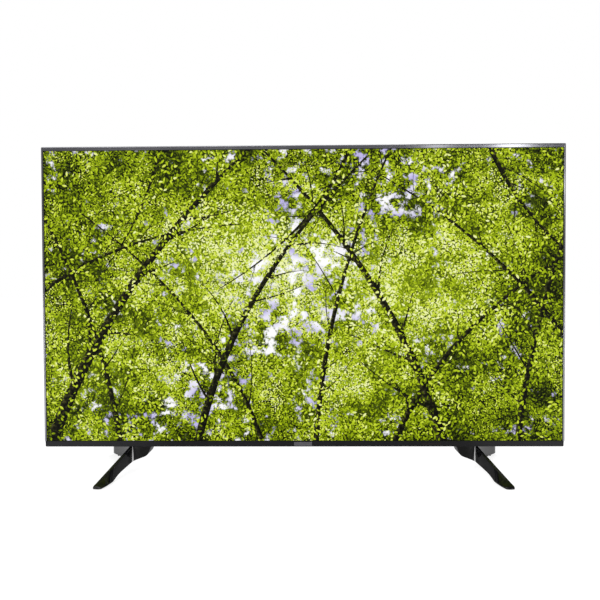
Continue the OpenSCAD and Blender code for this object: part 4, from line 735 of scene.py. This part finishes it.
def knee_rings():
    """Lower and upper ring of the hollow bend from the head's front into the front leg.

    Each ring is a quadratic curve between the two faces, wide below and narrow above, so the bend leans back.
    """
    rings = []
    for size, at_top in zip(KNEE_BEND, (False, True)):
        y = HEAD_Y[0] - size
        inner = np.array([leg_path(HEAD_Y[0])[0] - LEG_T / 2, HEAD_Y[0]])
        end = np.array([leg_path(y)[0] - LEG_T / 2, y])
        inside = HEAD_Y[0] + HEAD_EDGE + OVERLAP
        plan = np.concatenate([bend(inner - [size, 0], inner, end), [[leg_path(y)[0], y]],
                               [[leg_path(inside)[0], inside]], [[inner[0] - size, inside]]])
        rise = (HEAD_Z - KNEE_H) / (FOOT_X - HEAD_IN - HEAD_LEAN)
        low = KNEE_H + OVERLAP + rise * np.maximum(FOOT_X - plan[:, 0], 0)
        high = leg_top(leg_path(np.minimum(plan[:, 1], HEAD_Y[0]))[1]) - KNEE_DROP
        rings.append(np.column_stack([plan, high if at_top else low]))
    return np.stack(rings)


def upright_rod(x, y, low, high, radius):
    """Upright rod between two heights."""
    turn = np.linspace(0, 2 * np.pi, ROD_SIDES, endpoint=False)
    ring = np.stack([x + radius * np.cos(turn), y + radius * np.sin(turn)], axis=-1)
    rings = np.stack([np.concatenate([ring, np.full((ROD_SIDES, 1), z)], axis=1) for z in (low, high)])
    return mesh_of("rod", *loft(rings))


def foot(side, name):
    """Two splayed legs and a head in one moulding, bored from below for its two screws."""
    def mirrored(rings):
        return loft(rings * [side, 1, 1])

    bore_r, bore_top = COUNTERBORE
    cuts = [(upright_rod(side * FOOT_SCREW_X, y, low, high, radius), "DIFFERENCE")
            for y in FOOT_SCREW_Y
            for low, high, radius in ((0, bore_top, bore_r),
                                      (bore_top - OVERLAP, SEAT_Z + OVERLAP, SCREW_HOLE_R))]
    joined = [(mesh_of(part, *mirrored(rings)), "UNION")
              for part, rings in (("head", head_rings()), ("knee", knee_rings()))]
    mesh = combine(mesh_of("legs", *mirrored(leg_rings())), [*joined, *cuts])
    mesh.name = name
    return show(name, mesh, name.replace("_moulding", ""), "foot_plastic", smooth=32)


SLOT_OF = {part["node"]: part["material_slot"] for part in frame["record"]["subparts"]}

picture_panel()
foot(-1, "left_foot_moulding")
foot(1, "right_foot_moulding")

# Solids whose edges show are rounded: width of the rounding in millimetres
for node, width in (
        ("top_bezel", 0.3), ("left_bezel", 0.3), ("right_bezel", 0.3), ("bottom_bezel", 0.35),
        ("badge_plate", 0.2), ("receiver_window", 0.3), ("rear_cover", 0.5), ("cover_screws", 0.2),
        ("foot_screws", 0.2), ("left_foot_pads", 0.5), ("right_foot_pads", 0.5), ("mains_inlet", 0.25),
        ("ethernet_socket", 0.2), ("optical_socket", 0.2), ("wall_mount_posts", 0.3)):
    softened(node, width, SLOT_OF[node])
softened("power_key", 0.6, "key_plastic", body="power_key")

# Every other solid is shown as it is, with its finish
for node, solid in frame["nodes"].items():
    solid.data.materials.clear()
    solid.data.materials.append(FINISHES[SLOT_OF[node]])


# Studio, in metres

FLOOR_REACH = 30.0
# Colours of the floor in matt light and where it is seen, and its glow where it is seen
FLOOR_PAPER = "#f4f4f4"
FLOOR_SHADOW = "#a0a0a0"
FLOOR_GLOW = 0.8
# Where the floor, in reflections, turns from dark along its middle to light on both sides, where it turns
# dark far behind the set, and how light its dark part is
SHADE_ASIDE = (0.42, 0.5)
SHADE_BEHIND = (0.5, 0.9)
SHADE_LEVEL = 0.05
# Grey of the world in reflections towards the viewer, and of its light on matt surfaces
FRONT_GREY = 0.34
ROOM_GREY = 0.62
# The world in reflections, by parts x, y and z of a unit direction: where y plus a share of z takes it from
# grey to white; the dark horizon's middle and half width in y, and its fading in z; the edges of the flag in
# z and in x
GREY_RUN = (-0.8, 0.4)
GREY_LIFT = 0.35
HORIZON_Y = (0.45, 0.3)
HORIZON_Z = (0.1, 0.35)
HORIZON_DARK = -0.9
FLAG_Z = (0.55, 0.75)
FLAG_X = (0.15, 0.19)
FLAG_DARK = -0.85
# Camera: place, then yaw, pitch and roll in degrees, then lens and sensor in millimetres
CAMERA_AT = (0.012, -1.3318, 0.4343)
CAMERA_TURN = (-0.776, -1.106, -0.241)
CAMERA_LENS = 33.46
CAMERA_SENSOR = 36.0
# Lamps: place, what they face, width and height, and power in watts
LAMPS = {
    "high_front": ((-1.2, -2.4, 2.6), (0, 0, 0.4), (1.8, 1.4), 55),
    "high_back": ((0.6, 2.2, 2.6), (0, 0, 0.5), (2.0, 1.4), 45),
    "strip_right": ((1.15, -1.87, 1.4), (0.4, 0, 0.7), (0.16, 0.7), 2.2),
    "strip_middle": ((0.74, -1.87, 1.4), (0.3, 0, 0.7), (0.12, 0.7), 0.6),
    "spot_right": ((1.45, -1.87, 1.0), (0.6, 0, 0.7), (0.14, 0.14), 0.2),
    "side_left": ((-1.9, -1.0, 0.22), (0.4, 0, 0.04), (0.8, 0.3), 10),
    "side_right": ((1.9, -1.0, 0.22), (-0.4, 0, 0.04), (0.8, 0.3), 10),
}


def area_lamp(name, place, aim, size, power):
    """Soft rectangular lamp at a place, turned to an aim."""
    data = bpy.data.lights.new(name, "AREA")
    data.shape = "RECTANGLE"
    data.size, data.size_y = size
    data.energy = power
    lamp = bpy.data.objects.new(name, data)
    lamp.matrix_world = facing(place, aim)
    bpy.context.scene.collection.objects.link(lamp)


def facing(place, aim):
    """Matrix that puts a lamp at a place and points its -Z at an aim, with its Y upwards."""
    back = np.subtract(place, aim)
    back = back / np.linalg.norm(back)
    right = np.cross([0, 0, 1], back)
    right = right / np.linalg.norm(right)
    turned = np.eye(4)
    turned[:3, 0], turned[:3, 1], turned[:3, 2], turned[:3, 3] = right, np.cross(back, right), back, place
    return Matrix(turned.tolist())


def pale_floor():
    """Wide pale floor that keeps the shadow. Seen from below it is clear, so that the underside shows.

    In reflections it is dark along the middle, where the set's shade falls, and far behind the set.
    """
    mesh = bpy.data.meshes.new("floor")
    corners = [(x * FLOOR_REACH, y * FLOOR_REACH, 0) for x, y in ((-1, -1), (1, -1), (1, 1), (-1, 1))]
    mesh.from_pydata(corners, [], [(0, 1, 2, 3)])
    floor = bpy.data.objects.new("floor", mesh)
    bpy.context.scene.collection.objects.link(floor)
    material = bpy.data.materials.new("pale_floor")
    material.use_nodes = True
    tree = material.node_tree
    tree.nodes.clear()
    ray = put(tree, "LightPath").outputs
    direct, mirror = ray["Is Camera Ray"], ray["Is Glossy Ray"]
    seen = put(tree, "Math", {0: direct, 1: mirror}, operation="MAXIMUM").outputs[0]
    x, y, _ = put(tree, "SeparateXYZ", {0: put(tree, "TexCoord").outputs["Object"]}).outputs
    aside = put(tree, "Math", {0: x}, operation="ABSOLUTE").outputs[0]
    beside = put(tree, "MapRange", {"Value": aside, "From Min": SHADE_ASIDE[0],
                                    "From Max": SHADE_ASIDE[1]}).outputs[0]
    before = put(tree, "MapRange", {"Value": y, "From Min": SHADE_BEHIND[1],
                                    "From Max": SHADE_BEHIND[0]}).outputs[0]
    clear = put(tree, "Math", {0: beside, 1: before}, operation="MULTIPLY").outputs[0]
    shade = put(tree, "MapRange", {"Value": clear, "To Min": SHADE_LEVEL, "To Max": 1.0}).outputs[0]
    lit = put(tree, "Mix", {0: direct, 2: shade, 3: 1.0}).outputs[0]
    paper = put(tree, "BsdfDiffuse", {"Color": linear(FLOOR_PAPER)}).outputs[0]
    shadow = put(tree, "BsdfDiffuse", {"Color": linear(FLOOR_SHADOW)}).outputs[0]
    white = put(tree, "Emission", {"Color": lit, "Strength": FLOOR_GLOW}).outputs[0]
    bright = put(tree, "AddShader", {0: shadow, 1: white}).outputs[0]
    above = put(tree, "MixShader", {0: seen, 1: paper, 2: bright}).outputs[0]
    below = put(tree, "BsdfTransparent").outputs[0]
    back = put(tree, "NewGeometry").outputs["Backfacing"]
    surface = put(tree, "MixShader", {0: back, 1: above, 2: below}).outputs[0]
    put(tree, "OutputMaterial", {"Surface": surface})
    mesh.materials.append(material)


def white_room():
    """World: white where it is seen. In reflections it is white overhead, and greyer towards the viewer.

    A dark flag hangs overhead on the right, and the horizon is dark to both sides behind the set.
    """
    world = bpy.data.worlds.new("white_room")
    bpy.context.scene.world = world
    world.use_nodes = True
    tree = world.node_tree
    tree.nodes.clear()
    ray = put(tree, "LightPath").outputs
    direction = put(tree, "TexCoord").outputs["Generated"]
    x, y, z = put(tree, "SeparateXYZ", {0: direction}).outputs
    side = put(tree, "Math", {0: z, 1: GREY_LIFT, 2: y}, operation="MULTIPLY_ADD").outputs[0]
    grey = put(tree, "MapRange", {"Value": side, "From Min": GREY_RUN[0], "From Max": GREY_RUN[1],
                                  "To Min": FRONT_GREY, "To Max": 1.0}).outputs[0]
    behind = put(tree, "Math", {0: y, 1: HORIZON_Y[0], 2: HORIZON_Y[1]}, operation="COMPARE").outputs[0]
    dark = put(tree, "MapRange", {"Value": z, "From Min": HORIZON_Z[0], "From Max": HORIZON_Z[1],
                                  "To Min": HORIZON_DARK, "To Max": 0.0}).outputs[0]
    grey = put(tree, "Math", {0: behind, 1: dark, 2: grey}, operation="MULTIPLY_ADD").outputs[0]
    over = put(tree, "MapRange", {"Value": z, "From Min": FLAG_Z[0], "From Max": FLAG_Z[1]}).outputs[0]
    flag = put(tree, "MapRange", {"Value": x, "From Min": FLAG_X[0], "From Max": FLAG_X[1],
                                  "To Max": FLAG_DARK}).outputs[0]
    grey = put(tree, "Math", {0: over, 1: flag, 2: grey}, operation="MULTIPLY_ADD").outputs[0]
    mirror = put(tree, "Math", {0: ray["Is Glossy Ray"], 1: ray["Is Transmission Ray"]}, operation="MAXIMUM")
    lit = put(tree, "Mix", {0: mirror.outputs[0], 2: ROOM_GREY, 3: grey}).outputs[0]
    level = put(tree, "Mix", {0: ray["Is Camera Ray"], 2: lit, 3: 1.0}).outputs[0]
    shade = put(tree, "Background", {"Color": level, "Strength": 1.0}).outputs[0]
    put(tree, "OutputWorld", {"Surface": shade})


def camera():
    """Camera almost straight on, 15 mm above the middle of the picture, turned a little down and left."""
    yaw, pitch, roll = (math.radians(angle) for angle in CAMERA_TURN)
    ahead = np.array([math.sin(yaw) * math.cos(pitch), math.cos(yaw) * math.cos(pitch), math.sin(pitch)])
    right = np.array([math.cos(yaw), -math.sin(yaw), 0.0])
    up = np.cross(right, ahead)
    turned = np.eye(4)
    turned[:3, 0] = math.cos(roll) * right + math.sin(roll) * up
    turned[:3, 1] = math.cos(roll) * up - math.sin(roll) * right
    turned[:3, 2] = -ahead
    turned[:3, 3] = CAMERA_AT
    data = bpy.data.cameras.new("camera")
    data.sensor_width = CAMERA_SENSOR
    data.lens = CAMERA_LENS
    eye = bpy.data.objects.new("camera", data)
    eye.matrix_world = Matrix(turned.tolist())
    bpy.context.scene.collection.objects.link(eye)
    bpy.context.scene.camera = eye


pale_floor()
white_room()
camera()
for name, setting in LAMPS.items():
    area_lamp(name, *setting)
bpy.context.scene.view_settings.view_transform = "Standard"
